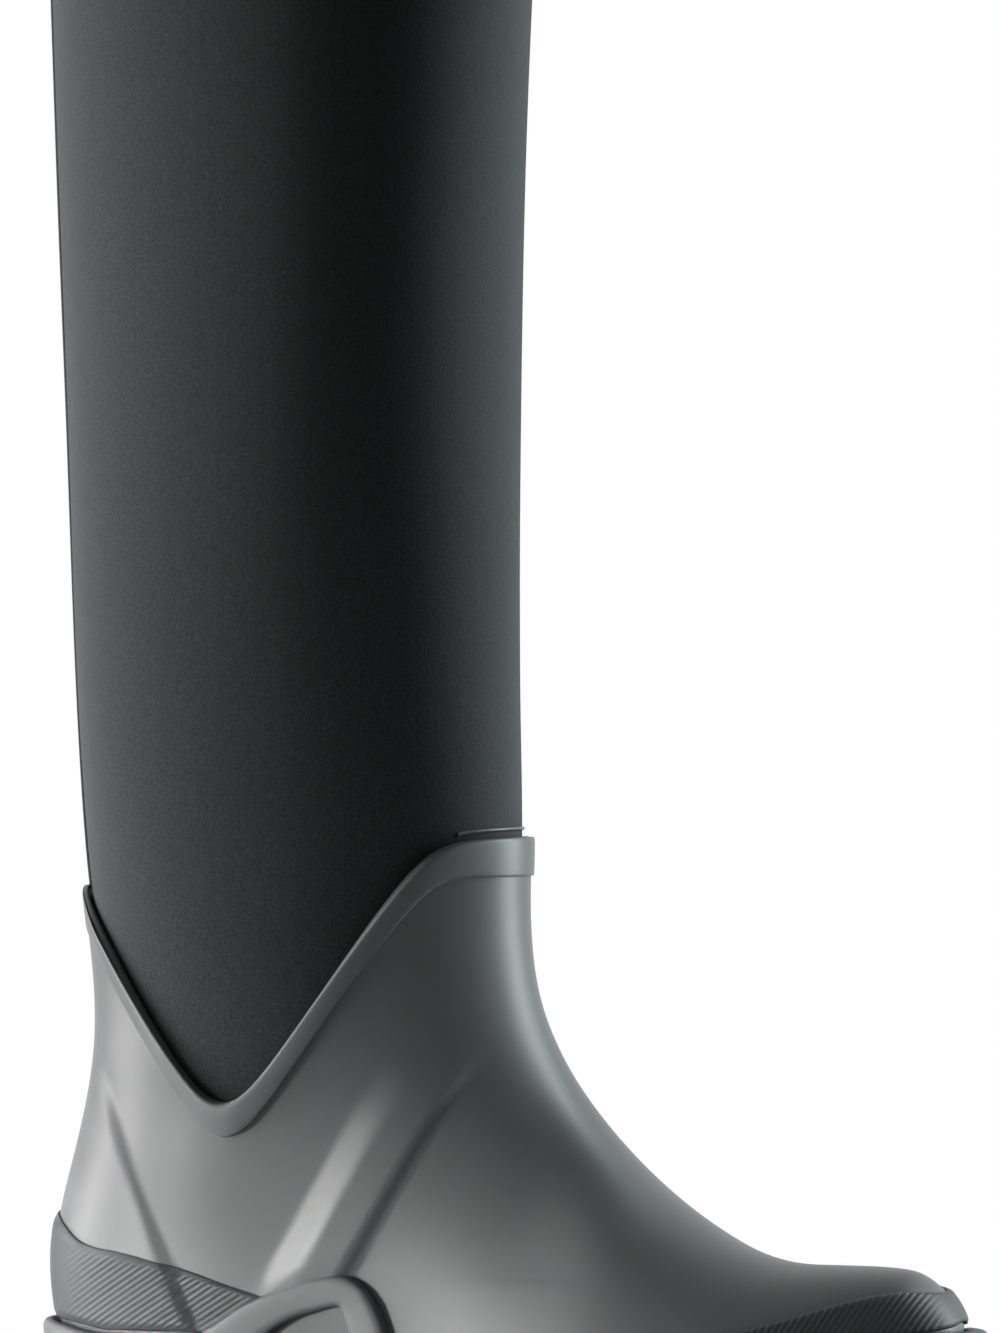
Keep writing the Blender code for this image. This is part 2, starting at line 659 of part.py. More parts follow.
def side_surface(inner):
    """Return a function placing side-view points on one side of the last."""
    sign = 1 if inner else -1

    def place(x, z):
        return np.stack((x, sign * half_width(x, z, np.full(np.shape(x), inner)), z), -1)
    return place


def side_layer(inner, x, z, offset):
    """Return side-view points placed on one side of the last at an offset."""
    place = side_surface(inner)
    da = place(x + 1e-4, z) - place(x - 1e-4, z)
    db = place(x, z + 1e-4) - place(x, z - 1e-4)
    n = np.cross(da, db) * (-1 if inner else 1)
    n /= np.linalg.norm(n, axis=-1, keepdims=True)
    return place(x, z) + n * np.asarray(offset)[..., None] - np.array((HALF, 0, 0))


def arch_loop(name, inner):
    """Make a raised arched band over the waist of one side."""
    foot_back = float(seat_top(LOOP_BACK_FROM_HEEL)) + LOOP_FOOT_GAP
    foot_front = float(seat_top(LOOP_FRONT_FROM_HEEL)) + LOOP_FOOT_GAP
    spine = natural_spline((0.0, 0.30, 0.62, 0.80, 1.0), (
        (LOOP_BACK_FROM_HEEL, foot_back),
        (0.5 * (LOOP_BACK_FROM_HEEL + LOOP_PEAK_FROM_HEEL),
         0.45 * foot_back + 0.55 * LOOP_PEAK_HEIGHT - 0.18 * LOOP_BAND),
        (LOOP_PEAK_FROM_HEEL, LOOP_PEAK_HEIGHT - 0.5 * LOOP_BAND),
        (LOOP_FRONT_FROM_HEEL - 0.41 * LOOP_BAND,
         0.45 * foot_front + 0.55 * LOOP_PEAK_HEIGHT - 0.35 * LOOP_BAND),
        (LOOP_FRONT_FROM_HEEL, foot_front)))
    t = np.linspace(0, 1, 19)
    mid = spine(t)
    run = spine(np.minimum(t + 0.01, 1)) - spine(np.maximum(t - 0.01, 0))
    run /= np.linalg.norm(run, axis=-1, keepdims=True)
    up = np.stack((-run[:, 1], run[:, 0]), -1)
    across = np.linspace(-0.5, 0.5, 4)[:, None, None] * LOOP_BAND * up[None]
    xz = mid[None] + across
    floor = seat_top(xz[..., 0]) + 0.66 * LOOP_FOOT_GAP
    xz[..., 1] = np.maximum(xz[..., 1], floor)
    base = np.full(xz.shape[:2], shell_out + FIT_GAP + RIDGE_RISE * 0.75)
    edge = np.array((0.55, 1.0, 1.0, 0.55))[:, None]
    add_node(name, *wall_between(side_layer(inner, xz[..., 0], xz[..., 1], base + LOOP_RISE * edge),
                                 side_layer(inner, xz[..., 0], xz[..., 1], base), False),
             RUBBER, 0.45)


arch_loop("lateral_arch_loop", False)
arch_loop("medial_arch_loop", True)

# Collar binding: a folded tape over the top edge
fold_depth = BINDING_DEPTH / (front_length[-1] - front_length[front_top])
fold = [(2 - fold_depth, FIT_GAP), (2 - 0.5 * fold_depth, FIT_GAP), (2.0, FIT_GAP)]
back_off = lining_out - LINING_WALL - FIT_GAP
fold_in = [(2.0, back_off), (2 - 0.5 * fold_depth, back_off), (2 - fold_depth, back_off)]


def fold_ring(rho, offset, lift):
    """Return one ring of the binding at a row of the shaft, an offset and a lift."""
    ring = layer(last_point, around, np.full_like(around, rho), np.full_like(around, offset))
    return ring + np.array((0, 0, lift))


inside = [fold_ring(r, o, FIT_GAP if r == 2.0 else 0) for r, o in fold + fold_in]
thick = BINDING_THICKNESS
outside = [fold_ring(r, o + thick, FIT_GAP + thick if r == 2.0 else 0) for r, o in fold]
outside += [fold_ring(r, o - thick, FIT_GAP + thick if r == 2.0 else 0) for r, o in fold_in]
add_node("collar_binding", *wall_between(np.array(outside), np.array(inside), True),
         (0.020, 0.020, 0.022), 0.9)

# Back seam tape on the shaft
tape_half = 0.5 * SEAM_TAPE_WIDTH / COLLAR_HALF_WIDTH
tape_theta, tape_rho = np.meshgrid(np.linspace(math.pi - tape_half, math.pi + tape_half, 5),
                                   np.linspace(1.02, 2 - fold_depth - 0.012, 14))
tape_in = np.full_like(tape_rho, FIT_GAP)
add_node("back_seam_tape",
         *wall_between(layer(last_point, tape_theta, tape_rho, tape_in + SEAM_TAPE_THICKNESS),
                       layer(last_point, tape_theta, tape_rho, tape_in), False),
         (0.022, 0.022, 0.024), 0.85)


def plate_ring(inset, height):
    """Return a closed plan ring at an inset, with its height as a function of x."""
    xy = plan_point(around, np.zeros_like(around) + inset)
    z = height(xy[:, 0]) + np.zeros(COLUMNS)
    return np.stack((xy[:, 0] - HALF, xy[:, 1], z), -1)


def plate(name, rings, colour, roughness, metallic=0.0):
    """Make a closed body from plan rings, bottom to top, with both ends crossed over."""
    stack = np.array(rings)
    vertices = list(stack.reshape(-1, 3))
    faces = grid_faces(len(rings), COLUMNS, True)
    faces += cross_faces(COLUMNS) + cross_faces(COLUMNS, (len(rings) - 1) * COLUMNS)
    return add_node(name, vertices, faces, colour, roughness, metallic)


margin_inset = BOTTOM_CORNER + LASTING_MARGIN
board_inset = margin_inset + BOARD_INSET
board_low = -FIT_GAP - BOARD_THICKNESS
plate("insole_board",
      [plate_ring(board_inset, lambda x: seat(x) + board_low),
       plate_ring(board_inset, lambda x: seat(x) - FIT_GAP)], (0.33, 0.22, 0.13), 0.85)

midsole_top = min(board_low, -shell_out) - FIT_GAP


def midsole_depth(x):
    """Return the midsole's thickness, from heel to forefoot."""
    share = smooth(HEEL_BREAST_FROM_HEEL, BALL_STATION_OUTER, x)
    return MIDSOLE_HEEL * (1 - share) + MIDSOLE_FOREFOOT * share


def cup_floor(x):
    """Return the height of the outsole's inside floor."""
    return seat(x) + midsole_top - midsole_depth(x) - FIT_GAP


midsole_inset = 0.0040
midsole = plate("midsole",
                [plate_ring(midsole_inset, lambda x: cup_floor(x) + FIT_GAP),
                 plate_ring(midsole_inset, lambda x: seat(x) + midsole_top)], (0.55, 0.55, 0.55), 0.9)


def strip_plate(start, length, width, low, high):
    """Return a lengthwise plate that follows a height, as vertices and faces."""
    x = np.linspace(start, start + length, 11)
    rings = []
    for height, side in ((low, -1), (low, 1), (high, 1), (high, -1)):
        rings.append(np.stack((x - HALF, np.full_like(x, side * width / 2), height(x)), -1))
    points = np.array(rings).transpose(1, 0, 2)
    faces = grid_faces(len(x), 4, True)
    faces += [(0, 1, 2, 3), tuple(4 * (len(x) - 1) + i for i in range(4))]
    return list(points.reshape(-1, 3)), faces


def cut_out(target, vertices, faces):
    """Take a pocket out of a body."""
    tool = add_node("cutter", vertices, faces, (1, 0, 0), 0.5)
    cut = target.modifiers.new("pocket", "BOOLEAN")
    cut.operation = "DIFFERENCE"
    cut.solver = "EXACT"
    cut.object = tool
    bpy.context.view_layer.update()
    shape = target.evaluated_get(bpy.context.evaluated_depsgraph_get())
    mesh = bpy.data.meshes.new_from_object(shape)
    target.modifiers.clear()
    work = bmesh.new()
    work.from_mesh(mesh)
    bmesh.ops.remove_doubles(work, verts=work.verts, dist=1e-6)
    bmesh.ops.dissolve_degenerate(work, edges=work.edges, dist=1e-6)
    bmesh.ops.triangulate(work, faces=work.faces)
    work.to_mesh(mesh)
    work.free()
    target.data = mesh
    bpy.data.objects.remove(tool, do_unlink=True)


shank_top = midsole_top
add_node("shank", *strip_plate(SHANK_START_FROM_HEEL, SHANK_LENGTH, SHANK_WIDTH,
                               lambda x: seat(x) + shank_top - SHANK_THICKNESS,
                               lambda x: seat(x) + shank_top), (0.45, 0.46, 0.48), 0.35, 1.0)
cut_out(midsole, *strip_plate(SHANK_START_FROM_HEEL - FIT_GAP, SHANK_LENGTH + 2 * FIT_GAP,
                              SHANK_WIDTH + 2 * FIT_GAP,
                              lambda x: seat(x) + shank_top - SHANK_THICKNESS - FIT_GAP,
                              lambda x: seat(x) + shank_top + 0.002))


def tread_base(x):
    """Return the height of the outsole's underside before its lugs."""
    toe_spring = np.maximum(cup_floor(x) - cup_floor(BALL_STATION_OUTER), 0)
    spring = np.where(x > BALL_STATION_OUTER, toe_spring, 0)
    waist = smooth(HEEL_BREAST_FROM_HEEL - 0.004, HEEL_BREAST_FROM_HEEL + 0.008, x)
    waist = waist * (1 - smooth(TREAD_START_FROM_HEEL - 0.030, TREAD_START_FROM_HEEL, x))
    return LUG_HEIGHT + waist * (WAIST_CLEARANCE - LUG_HEIGHT) + spring


cup_inset = -(shell_out + FIT_GAP + 0.0002)
edge_inset = -(shell_out + GUARD_THICKNESS + FIT_GAP + LEDGE_WIDTH)
LANES = 4
heel_room = HEEL_BULGE * (1 - smooth(0.0, HEEL_STATION, HALF * (1 + np.cos(around))))


def outsole_body():
    """Make the outsole: a cup with an outer ledge, and lugs raised from its underside."""
    rings = [plate_ring(edge_inset + SOLE_WALL_INSET, tread_base),
             plate_ring(edge_inset + 0.4 * SOLE_WALL_INSET,
                        lambda x: 0.5 * (tread_base(x) + ledge(x)) - 0.002),
             plate_ring(edge_inset, lambda x: ledge(x) - LEDGE_DROP),
             plate_ring(edge_inset + 0.0006, lambda x: ledge(x) - 0.0006),
             plate_ring(edge_inset + 0.0016, ledge),
             plate_ring(cup_inset - heel_room, ledge),
             plate_ring(cup_inset, lambda x: seat(x) + 0.5 * BOTTOM_CORNER),
             plate_ring(0.002, lambda x: seat(x) + midsole_top),
             plate_ring(midsole_inset - FIT_GAP, lambda x: seat(x) + midsole_top - 0.0004),
             plate_ring(midsole_inset - FIT_GAP, cup_floor)]
    stack = np.array(rings)
    vertices = list(stack.reshape(-1, 3))
    faces = grid_faces(len(rings), COLUMNS, True)
    faces += cross_faces(COLUMNS, (len(rings) - 1) * COLUMNS)
    half = COLUMNS // 2
    lanes = []
    for c in range(half + 1):
        a, b = stack[0, c], stack[0, (COLUMNS - c) % COLUMNS]
        lane = [c]
        if 0 < c < half:
            for k in range(1, LANES):
                lane.append(len(vertices))
                vertices.append(a + (b - a) * k / LANES)
            lane.append(COLUMNS - c)
        lanes.append(lane)
    tread = []
    for c in range(half):
        one, two = lanes[c], lanes[c + 1]
        if len(one) == 1:
            faces += [(one[0], two[k], two[k + 1]) for k in range(LANES)]
        elif len(two) == 1:
            faces += [(two[0], one[k + 1], one[k]) for k in range(LANES)]
        else:
            for k in range(LANES):
                faces.append((one[k], two[k], two[k + 1], one[k + 1]))
                tread.append(len(faces) - 1)
    return vertices, faces, tread


def raise_lugs(vertices, faces, tread):
    """Return the outsole with a tapered lug on each tread face that touches the ground."""
    vertices = [np.array(v) for v in vertices]
    kept = [f for i, f in enumerate(faces) if i not in set(tread)]
    for i in tread:
        face = faces[i]
        corners = np.array([vertices[j] for j in face])
        middle = corners.mean(axis=0)
        x = middle[0] + HALF
        if HEEL_BREAST_FROM_HEEL - 0.006 < x < TREAD_START_FROM_HEEL:
            kept.append(face)
            continue
        spring = float(tread_base(x)) - LUG_HEIGHT if x > BALL_STATION_OUTER else 0.0
        rings = []
        for margin, drop in ((LUG_MARGIN, 0.0), (LUG_MARGIN * 1.4, 1.0)):
            shrunk = []
            for k in range(4):
                here, after, before = corners[k], corners[(k + 1) % 4], corners[k - 1]
                go = (after - here) / np.linalg.norm(after - here)
                come = (before - here) / np.linalg.norm(before - here)
                sine = max(np.linalg.norm(np.cross(go, come)), 0.3)
                point = here + (go + come) * margin / sine
                if drop:
                    point[2] = spring
                shrunk.append(point)
            rings.append(shrunk)
        first = len(vertices)
        vertices += rings[0] + rings[1]
        for k in range(4):
            n = (k + 1) % 4
            kept.append((face[k], face[n], first + n, first + k))
            kept.append((first + k, first + n, first + 4 + n, first + 4 + k))
        kept.append(tuple(first + 4 + k for k in range(4)))
    return vertices, kept


outsole = add_node("outsole", *raise_lugs(*outsole_body()), (0.040, 0.041, 0.044), 0.6)


def filler_block(gap):
    """Return the heel filler's block, widened by a gap."""
    floor = float(cup_floor(FILLER_FROM_HEEL))
    return strip_plate(FILLER_FROM_HEEL - gap, FILLER_LENGTH + 2 * gap, FILLER_WIDTH + 2 * gap,
                       lambda x: np.full_like(x, floor - FILLER_HEIGHT - gap),
                       lambda x: cup_floor(x) - FIT_GAP + (0.004 if gap else 0.0))


add_node("heel_filler", *filler_block(0.0), (0.30, 0.30, 0.31), 0.85)
cut_out(outsole, *filler_block(FIT_GAP))

# Footbed and its cover, with a raised rim towards the heel
bed_low = BOOTIE_WALL + LINING_WALL + 4 * FIT_GAP
bed_inset = BOOTIE_WALL + FIT_GAP + LINING_WALL + FOOTBED_SIDE_GAP
corner_inset = BOTTOM_CORNER + 4 * FIT_GAP


def bed_layer(name, low, high, low_inset, colour, roughness):
    """Make one layer of the footbed between two heights over the seat."""
    def cup(x):
        return FOOTBED_CUP * (1 - smooth(0.060, 0.150, x))
    shoulder = 0.0085

    def rim(inset, share, rise):
        return plate_ring(inset, lambda x: seat(x) + rise + share * cup(x))
    rings = [rim(low_inset + 0.012, 0.0, low), rim(low_inset, 1.0 if low > bed_low else 0.0, low)]
    if low <= bed_low:
        rings.append(rim(bed_inset, 0.4, max(shoulder, low + 0.0015)))
    rings += [rim(bed_inset + 0.0004, 1.0, high), rim(bed_inset + 0.012, 0.0, high)]
    return plate(name, rings, colour, roughness)


bed_high = bed_low + FOOTBED_THICKNESS
bed_layer("footbed", bed_low, bed_high, corner_inset, (0.10, 0.10, 0.11), 0.9)
bed_layer("footbed_cover", bed_high + FIT_GAP, bed_high + FIT_GAP + COVER_THICKNESS, bed_inset + 0.0004,
          (0.050, 0.051, 0.055), 0.95)
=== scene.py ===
# %% [markdown]
# # Dressing a tall yard boot
# The CAD frame already holds every piece of this pull-on boot at its true size. This lesson gives the pieces that
# show a fine mesh and a finish. One surface, the last, comes first, and the neoprene leg, the rubber foot, the ribbed
# guards and the sole are offsets of it. Subdividing the CAD solids would be quicker, but their facets would still
# show in the satin rubber.

# %% Load the frame
import math

import bmesh
import bpy
import numpy as np
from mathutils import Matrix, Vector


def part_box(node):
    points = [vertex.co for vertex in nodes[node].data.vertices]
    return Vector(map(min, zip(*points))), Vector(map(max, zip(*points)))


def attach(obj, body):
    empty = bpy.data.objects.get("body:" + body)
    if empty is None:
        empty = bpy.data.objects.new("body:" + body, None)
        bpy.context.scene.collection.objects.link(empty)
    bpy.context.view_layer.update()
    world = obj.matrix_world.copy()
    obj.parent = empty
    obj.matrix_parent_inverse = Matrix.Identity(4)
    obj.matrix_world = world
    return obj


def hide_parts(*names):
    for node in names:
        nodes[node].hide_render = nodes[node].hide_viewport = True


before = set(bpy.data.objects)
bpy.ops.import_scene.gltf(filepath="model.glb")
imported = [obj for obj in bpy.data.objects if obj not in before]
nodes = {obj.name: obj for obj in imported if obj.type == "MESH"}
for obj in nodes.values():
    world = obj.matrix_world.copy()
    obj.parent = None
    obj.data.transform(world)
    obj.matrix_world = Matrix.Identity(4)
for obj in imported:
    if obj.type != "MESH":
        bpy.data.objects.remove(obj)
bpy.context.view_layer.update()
print("frame loaded:", len(nodes), "nodes")

# %% [markdown]
# ## The last
# A last is the form that a boot is built round, so every layer of the boot is an offset of one surface. It could be
# sculpted by eye. Here it is written as a few sizes and splines, the CAD part's own, in metres, because that keeps
# the layers a true wall thickness apart.

# %% Sizes of the last
LAST_LENGTH = 0.2725
HALF = LAST_LENGTH / 2
CORNER = 0.0090
MARGIN = 0.0040
COLLAR_HEIGHT = 0.4560
TOE_CREST_HEIGHT = 0.0464
SHELL_OUT = 0.0027
BOOTIE_WALL = 0.0040
LINING_OUT = 0.0043
LINING_IN = 0.0050


def natural_spline(knots, values):
    """Return the natural cubic spline through the given values as a function."""
    t = np.asarray(knots, dtype=float)
    y = np.asarray(values, dtype=float)
    h = np.diff(t)
    n = len(t)
    a = np.eye(n)
    b = np.zeros((n,) + y.shape[1:])
    for i in range(1, n - 1):
        a[i, i - 1:i + 2] = (h[i - 1], 2 * (h[i - 1] + h[i]), h[i])
        b[i] = 6 * ((y[i + 1] - y[i]) / h[i] - (y[i] - y[i - 1]) / h[i - 1])
    m = np.linalg.solve(a, b)

    def curve(q):
        q = np.clip(np.asarray(q, dtype=float), t[0], t[-1])
        i = np.clip(np.searchsorted(t, q) - 1, 0, n - 2)
        u = (q - t[i]) / h[i]
        step = h[i]
        if y.ndim > 1:
            u = u[..., None]
            step = step[..., None]
        cubic = ((1 - u) ** 3 - (1 - u)) * m[i] + (u ** 3 - u) * m[i + 1]
        return (1 - u) * y[i] + u * y[i + 1] + step * step / 6 * cubic

    return curve


def profile(points, samples=6000):
    """Return a dense smooth polyline through side-view points, with its lengths."""
    p = np.array(points)
    chord = np.concatenate(([0], np.cumsum(np.hypot(*np.diff(p, axis=0).T))))
    dense = natural_spline(chord, p)(np.linspace(0, chord[-1], samples))
    length = np.concatenate(([0], np.cumsum(np.hypot(*np.diff(dense, axis=0).T))))
    return dense, length


def smooth(a, b, t):
    """Ease from 0 at a to 1 at b."""
    u = np.clip((t - a) / (b - a), 0, 1)
    return u * u * (3 - 2 * u)


print("last:", LAST_LENGTH, "m long, collar at", COLLAR_HEIGHT, "m")

# %% [markdown]
# ### Plan and side lines
# The plan gives the foot's width, the front and back lines give the side view, and the girths give the leg's width.
# A shoemaker measures a last at stations too. A natural spline through a few stations keeps the rubber's highlights
# free of the kinks that many hand-placed points would leave.

# %% Plan, underside and side lines of the last
seat = natural_spline((-0.02, 0.035, 0.110, 0.185, LAST_LENGTH), (0.0215, 0.0215, 0.0190, 0.0140, 0.0245))


def plan_factor(toe, ball_station, ball, waist, heel):
    """Return one side's plan width over sin(angle), as a spline in the angle."""
    stations = np.array((0.246, ball_station, 0.110, 0.037))
    angles = np.arccos(stations / HALF - 1)
    values = np.array((toe, ball, waist, heel)) / np.sin(angles)
    ends = np.sqrt(np.array((0.034, 0.031)) * HALF)
    return natural_spline((0, *angles, math.pi), (ends[0], *values, ends[1]))


inner_factor = plan_factor(0.0330, 0.196, 0.0450, 0.0310, 0.0315)
outer_factor = plan_factor(0.0310, 0.178, 0.0450, 0.0350, 0.0320)


def plan_half(x, inner):
    """Return the foot's plan half width at x on the inner or the outer side."""
    angle = np.arccos(np.clip(np.asarray(x) / HALF - 1, -1, 1))
    return np.sin(angle) * np.where(inner, inner_factor(angle), outer_factor(angle))


def seat_top(x):
    """Return the height at which the wall starts above the rounded bottom corner."""
    return seat(x) + CORNER


toe_start = float(seat_top(LAST_LENGTH))
front_line, front_length = profile((
    (LAST_LENGTH, toe_start), (LAST_LENGTH - 0.0045, 0.5 * (toe_start + TOE_CREST_HEIGHT) + 0.0015),
    (0.2530, TOE_CREST_HEIGHT), (0.2250, 0.0480), (0.1995, 0.0590), (0.1625, 0.0925), (0.1430, 0.1270),
    (0.1389, 0.1750), (0.1375, 0.2620), (0.1430, COLLAR_HEIGHT)))
back_line, back_length = profile((
    (0.0, float(seat_top(0.0))), (-0.0022, 0.0520), (0.0036, 0.0820), (0.0101, 0.1180),
    (0.0065, 0.1650), (0.0043, 0.1900), (-0.0005, 0.3100), (-0.0068, COLLAR_HEIGHT)))
girth = natural_spline((0.02, 0.060, 0.100, 0.190, 0.310, COLLAR_HEIGHT),
                       (0.0350, 0.0365, 0.0400, 0.0470, 0.0545, 0.0570))
front_rising = np.maximum.accumulate(front_line[:, 1])
front_falling = np.minimum.accumulate(front_line[:, 0])[::-1]


LEG_MIDDLE = 0.078
VAMP_START, VAMP_END = 0.146, 0.180
VAMP_POWER, LOW_LEG_POWER, LEG_POWER_DROP = 2.2, 3.2, 1.2


def half_width(x, z, inner):
    """Return the last's half width at a side-view point."""
    ridge = np.interp(x, front_falling, front_line[::-1, 1])
    top = np.maximum(ridge, seat_top(x) + 1e-6)
    u = np.clip((z - seat_top(x)) / (top - seat_top(x)), 0, 1)
    vamp = plan_half(x, inner) * np.sqrt(np.maximum(1 - u ** VAMP_POWER, 0))
    back = np.interp(z, back_line[:, 1], back_line[:, 0])
    front = np.interp(z, front_rising, front_line[:, 0])
    reach = np.where(x < LEG_MIDDLE, LEG_MIDDLE - back, front - LEG_MIDDLE)
    c = np.clip(np.abs(x - LEG_MIDDLE) / reach, 0, 1)
    power = LOW_LEG_POWER - LEG_POWER_DROP * smooth(0.04, 0.14, z)
    leg = girth(z) * np.sqrt(np.maximum(1 - c ** power, 0))
    slid = np.where(x < LEG_MIDDLE, LEG_MIDDLE - (LEG_MIDDLE - x) * LEG_MIDDLE / (LEG_MIDDLE - back), x)
    up = smooth(0.0, 0.055, z - seat_top(x))
    rear = (1 - up) * plan_half(slid, inner) + up * leg
    share = smooth(VAMP_START, VAMP_END, x)
    return (1 - share) * rear + share * vamp


V_STATION, V_HEIGHT, V_ROUND = 0.0590, 0.1002, 0.0180
BACK_SLOPE, FRONT_SLOPE = 1.60, 1.57
BACK_DROP, BACK_REACH = 0.0020, 0.0220
FRONT_LEVEL, FRONT_ROUND = 0.1800, 0.0120


def topline(x):
    """Return the shell's top edge height at x: a rounded V with a level front."""
    slope = np.where(x < V_STATION, BACK_SLOPE, FRONT_SLOPE)
    v = V_HEIGHT + np.sqrt((slope * (x - V_STATION)) ** 2 + V_ROUND ** 2) - V_ROUND
    v = v - BACK_DROP * (1 - smooth(0, BACK_REACH, x))
    return 0.5 * (v + FRONT_LEVEL - np.sqrt((v - FRONT_LEVEL) ** 2 + FRONT_ROUND ** 2))


front_top = int(np.argmax(front_line[:, 1] >= topline(front_line[:, 0])))
back_top = int(np.argmax(back_line[:, 1] >= topline(back_line[:, 0])))
print("topline: front", round(front_line[front_top, 1], 4), "m, back", round(back_line[back_top, 1], 4), "m")

# %% [markdown]
# ### The surface itself
# Each panel of the side view, one below the topline and one above, is filled from its four edges as a Coons patch, so
# a row of points follows the V exactly. Cutting the V afterwards with a Boolean would leave ragged triangles along an
# edge that catches the light.


# %% The surface itself
def along(line, length, start, end, v):
    """Return the point a share v along part of a line, by length."""
    at = length[start] + v * (length[end] - length[start])
    return np.stack((np.interp(at, length, line[:, 0]), np.interp(at, length, line[:, 1])), -1)


def side_view(s, v, upper):
    """Return side-view points: s from front to back, v from bottom to top of a panel."""
    f0, f1 = (front_top, len(front_line) - 1) if upper else (0, front_top)
    b0, b1 = (back_top, len(back_line) - 1) if upper else (0, back_top)
    front = along(front_line, front_length, f0, f1, v)
    back = along(back_line, back_length, b0, b1, v)
    s = s[..., None]
    v = v[..., None]

    def edge(i, j, height):
        t = s[..., 0]
        ends = np.array((front_line[i], back_line[j]))
        miss = ends[:, 1] - height(ends[:, 0])
        x = ends[0, 0] + t * (ends[1, 0] - ends[0, 0])
        return np.stack((x, height(x) + (1 - t) * miss[0] + t * miss[1]), -1)

    def collar(x):
        return np.full_like(x, COLLAR_HEIGHT)

    low = edge(f0, b0, topline if upper else seat_top)
    high = edge(f1, b1, collar if upper else topline)
    corners = ((1 - s) * ((1 - v) * front_line[f0] + v * front_line[f1])
               + s * ((1 - v) * back_line[b0] + v * back_line[b1]))
    return (1 - v) * low + v * high + (1 - s) * front + s * back - corners


def plan_point(theta, inset):
    """Return plan points of the foot at an angle, moved inward by an inset."""
    def outline(a):
        x = HALF * (1 + np.cos(a))
        y = plan_half(x, np.sin(a) > 0) * np.where(np.sin(a) >= 0, 1, -1)
        return np.stack((x, y), -1)
    step = outline(theta + 1e-3) - outline(theta - 1e-3)
    step /= np.linalg.norm(step, axis=-1, keepdims=True)
    inward = np.stack((-step[..., 1], step[..., 0]), -1)
    return outline(theta) + inward * np.asarray(inset)[..., None]


def last_point(theta, rho):
    """Return points of the last: rho -2..0 underside corner, 0..1 foot, 1..2 leg."""
    theta, rho = np.broadcast_arrays(np.asarray(theta, float), np.asarray(rho, float))
    s = (1 - np.cos(theta)) / 2
    foot = side_view(s, np.clip(rho, 0, 1), False)
    leg = side_view(s, np.clip(rho - 1, 0, 1), True)
    xz = np.where((rho > 1)[..., None], leg, foot)
    sign = np.where(np.sin(theta) >= 0, 1, -1)
    y = half_width(xz[..., 0], xz[..., 1], np.sin(theta) > 0) * sign
    wall = np.stack((xz[..., 0], y, xz[..., 1]), -1)
    turn = np.clip(-rho, 0, 1) * math.pi / 2
    xy = plan_point(theta, CORNER * (1 - np.cos(turn)) + MARGIN * np.clip(-rho - 1, 0, 1))
    low = np.stack((xy[..., 0], xy[..., 1], seat_top(xy[..., 0]) - CORNER * np.sin(turn)), -1)
    return np.where((rho < 0)[..., None], low, wall)


def layer(theta, rho, offset):
    """Return last points moved outward by an offset, in the part's frame."""
    da = last_point(theta + 0.03, rho) - last_point(theta - 0.03, rho)
    db = last_point(theta, rho + 0.002) - last_point(theta, rho - 0.002)
    n = np.cross(da, db)
    n /= np.maximum(np.linalg.norm(n, axis=-1, keepdims=True), 1e-12)
    return last_point(theta, rho) + n * np.asarray(offset)[..., None] - np.array((HALF, 0, 0))


low_shell, high_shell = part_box("rubber_shell")
print("last ready; shell box", [round(v, 3) for v in (*low_shell, *high_shell)])

# %% [markdown]
# ## Mesh tools
# A boot is made of walls: two skins with an edge between them. A grid of points becomes a skin, and rings or rims
# join two skins. A Solidify modifier could add the wall too, but here both skins come from the last, so a wall can
# change its thickness along the way.

# %% Mesh tools
scene = bpy.context.scene


def add_to_scene(made):
    """Link an object to the scene and return it."""
    scene.collection.objects.link(made)
    return made


def new_piece(name, points, faces, material, weld=True):
    """Make a smooth-shaded piece from points and faces, merging points that meet when asked."""
    mesh = bpy.data.meshes.new(name)
    mesh.from_pydata(np.asarray(points).tolist(), [], faces)
    work = bmesh.new()
    work.from_mesh(mesh)
    if weld:
        bmesh.ops.remove_doubles(work, verts=work.verts, dist=2e-6)
    bmesh.ops.recalc_face_normals(work, faces=work.faces)
    work.to_mesh(mesh)
    work.free()
    mesh.shade_smooth()
    mesh.materials.append(material)
    return add_to_scene(bpy.data.objects.new(name, mesh))


def grid_faces(rows, columns, closed, start=0):
    """Return the quads of a grid of points, closed around when asked."""
    r, c = np.meshgrid(np.arange(rows - 1), np.arange(columns if closed else columns - 1), indexing="ij")
    d = (c + 1) % columns
    quads = np.stack((r * columns + c, r * columns + d, (r + 1) * columns + d, (r + 1) * columns + c), -1)
    return (quads.reshape(-1, 4) + start).tolist()


def cross_faces(columns, start=0):
    """Return quads across a closed ring, from each point to its mirror point."""
    faces = []
    for a in range(columns // 2):
        ring = (a, a + 1, (columns - a - 1) % columns, (columns - a) % columns)
        faces.append([start + i for i in dict.fromkeys(ring)])
    return faces


def stack_faces(rings):
    """Return the faces of a stack of rings, closed across its first and last ring."""
    rows, count = rings.shape[:2]
    return grid_faces(rows, count, True) + cross_faces(count) + cross_faces(count, (rows - 1) * count)


def loop_of_rings(rings):
    """Return points and faces of a tube of rings whose last ring joins the first."""
    stack = np.array(rings)
    rows, columns = stack.shape[:2]
    last = (rows - 1) * columns
    joint = [[last + c, last + (c + 1) % columns, (c + 1) % columns, c] for c in range(columns)]
    return stack.reshape(-1, 3), grid_faces(rows, columns, True) + joint


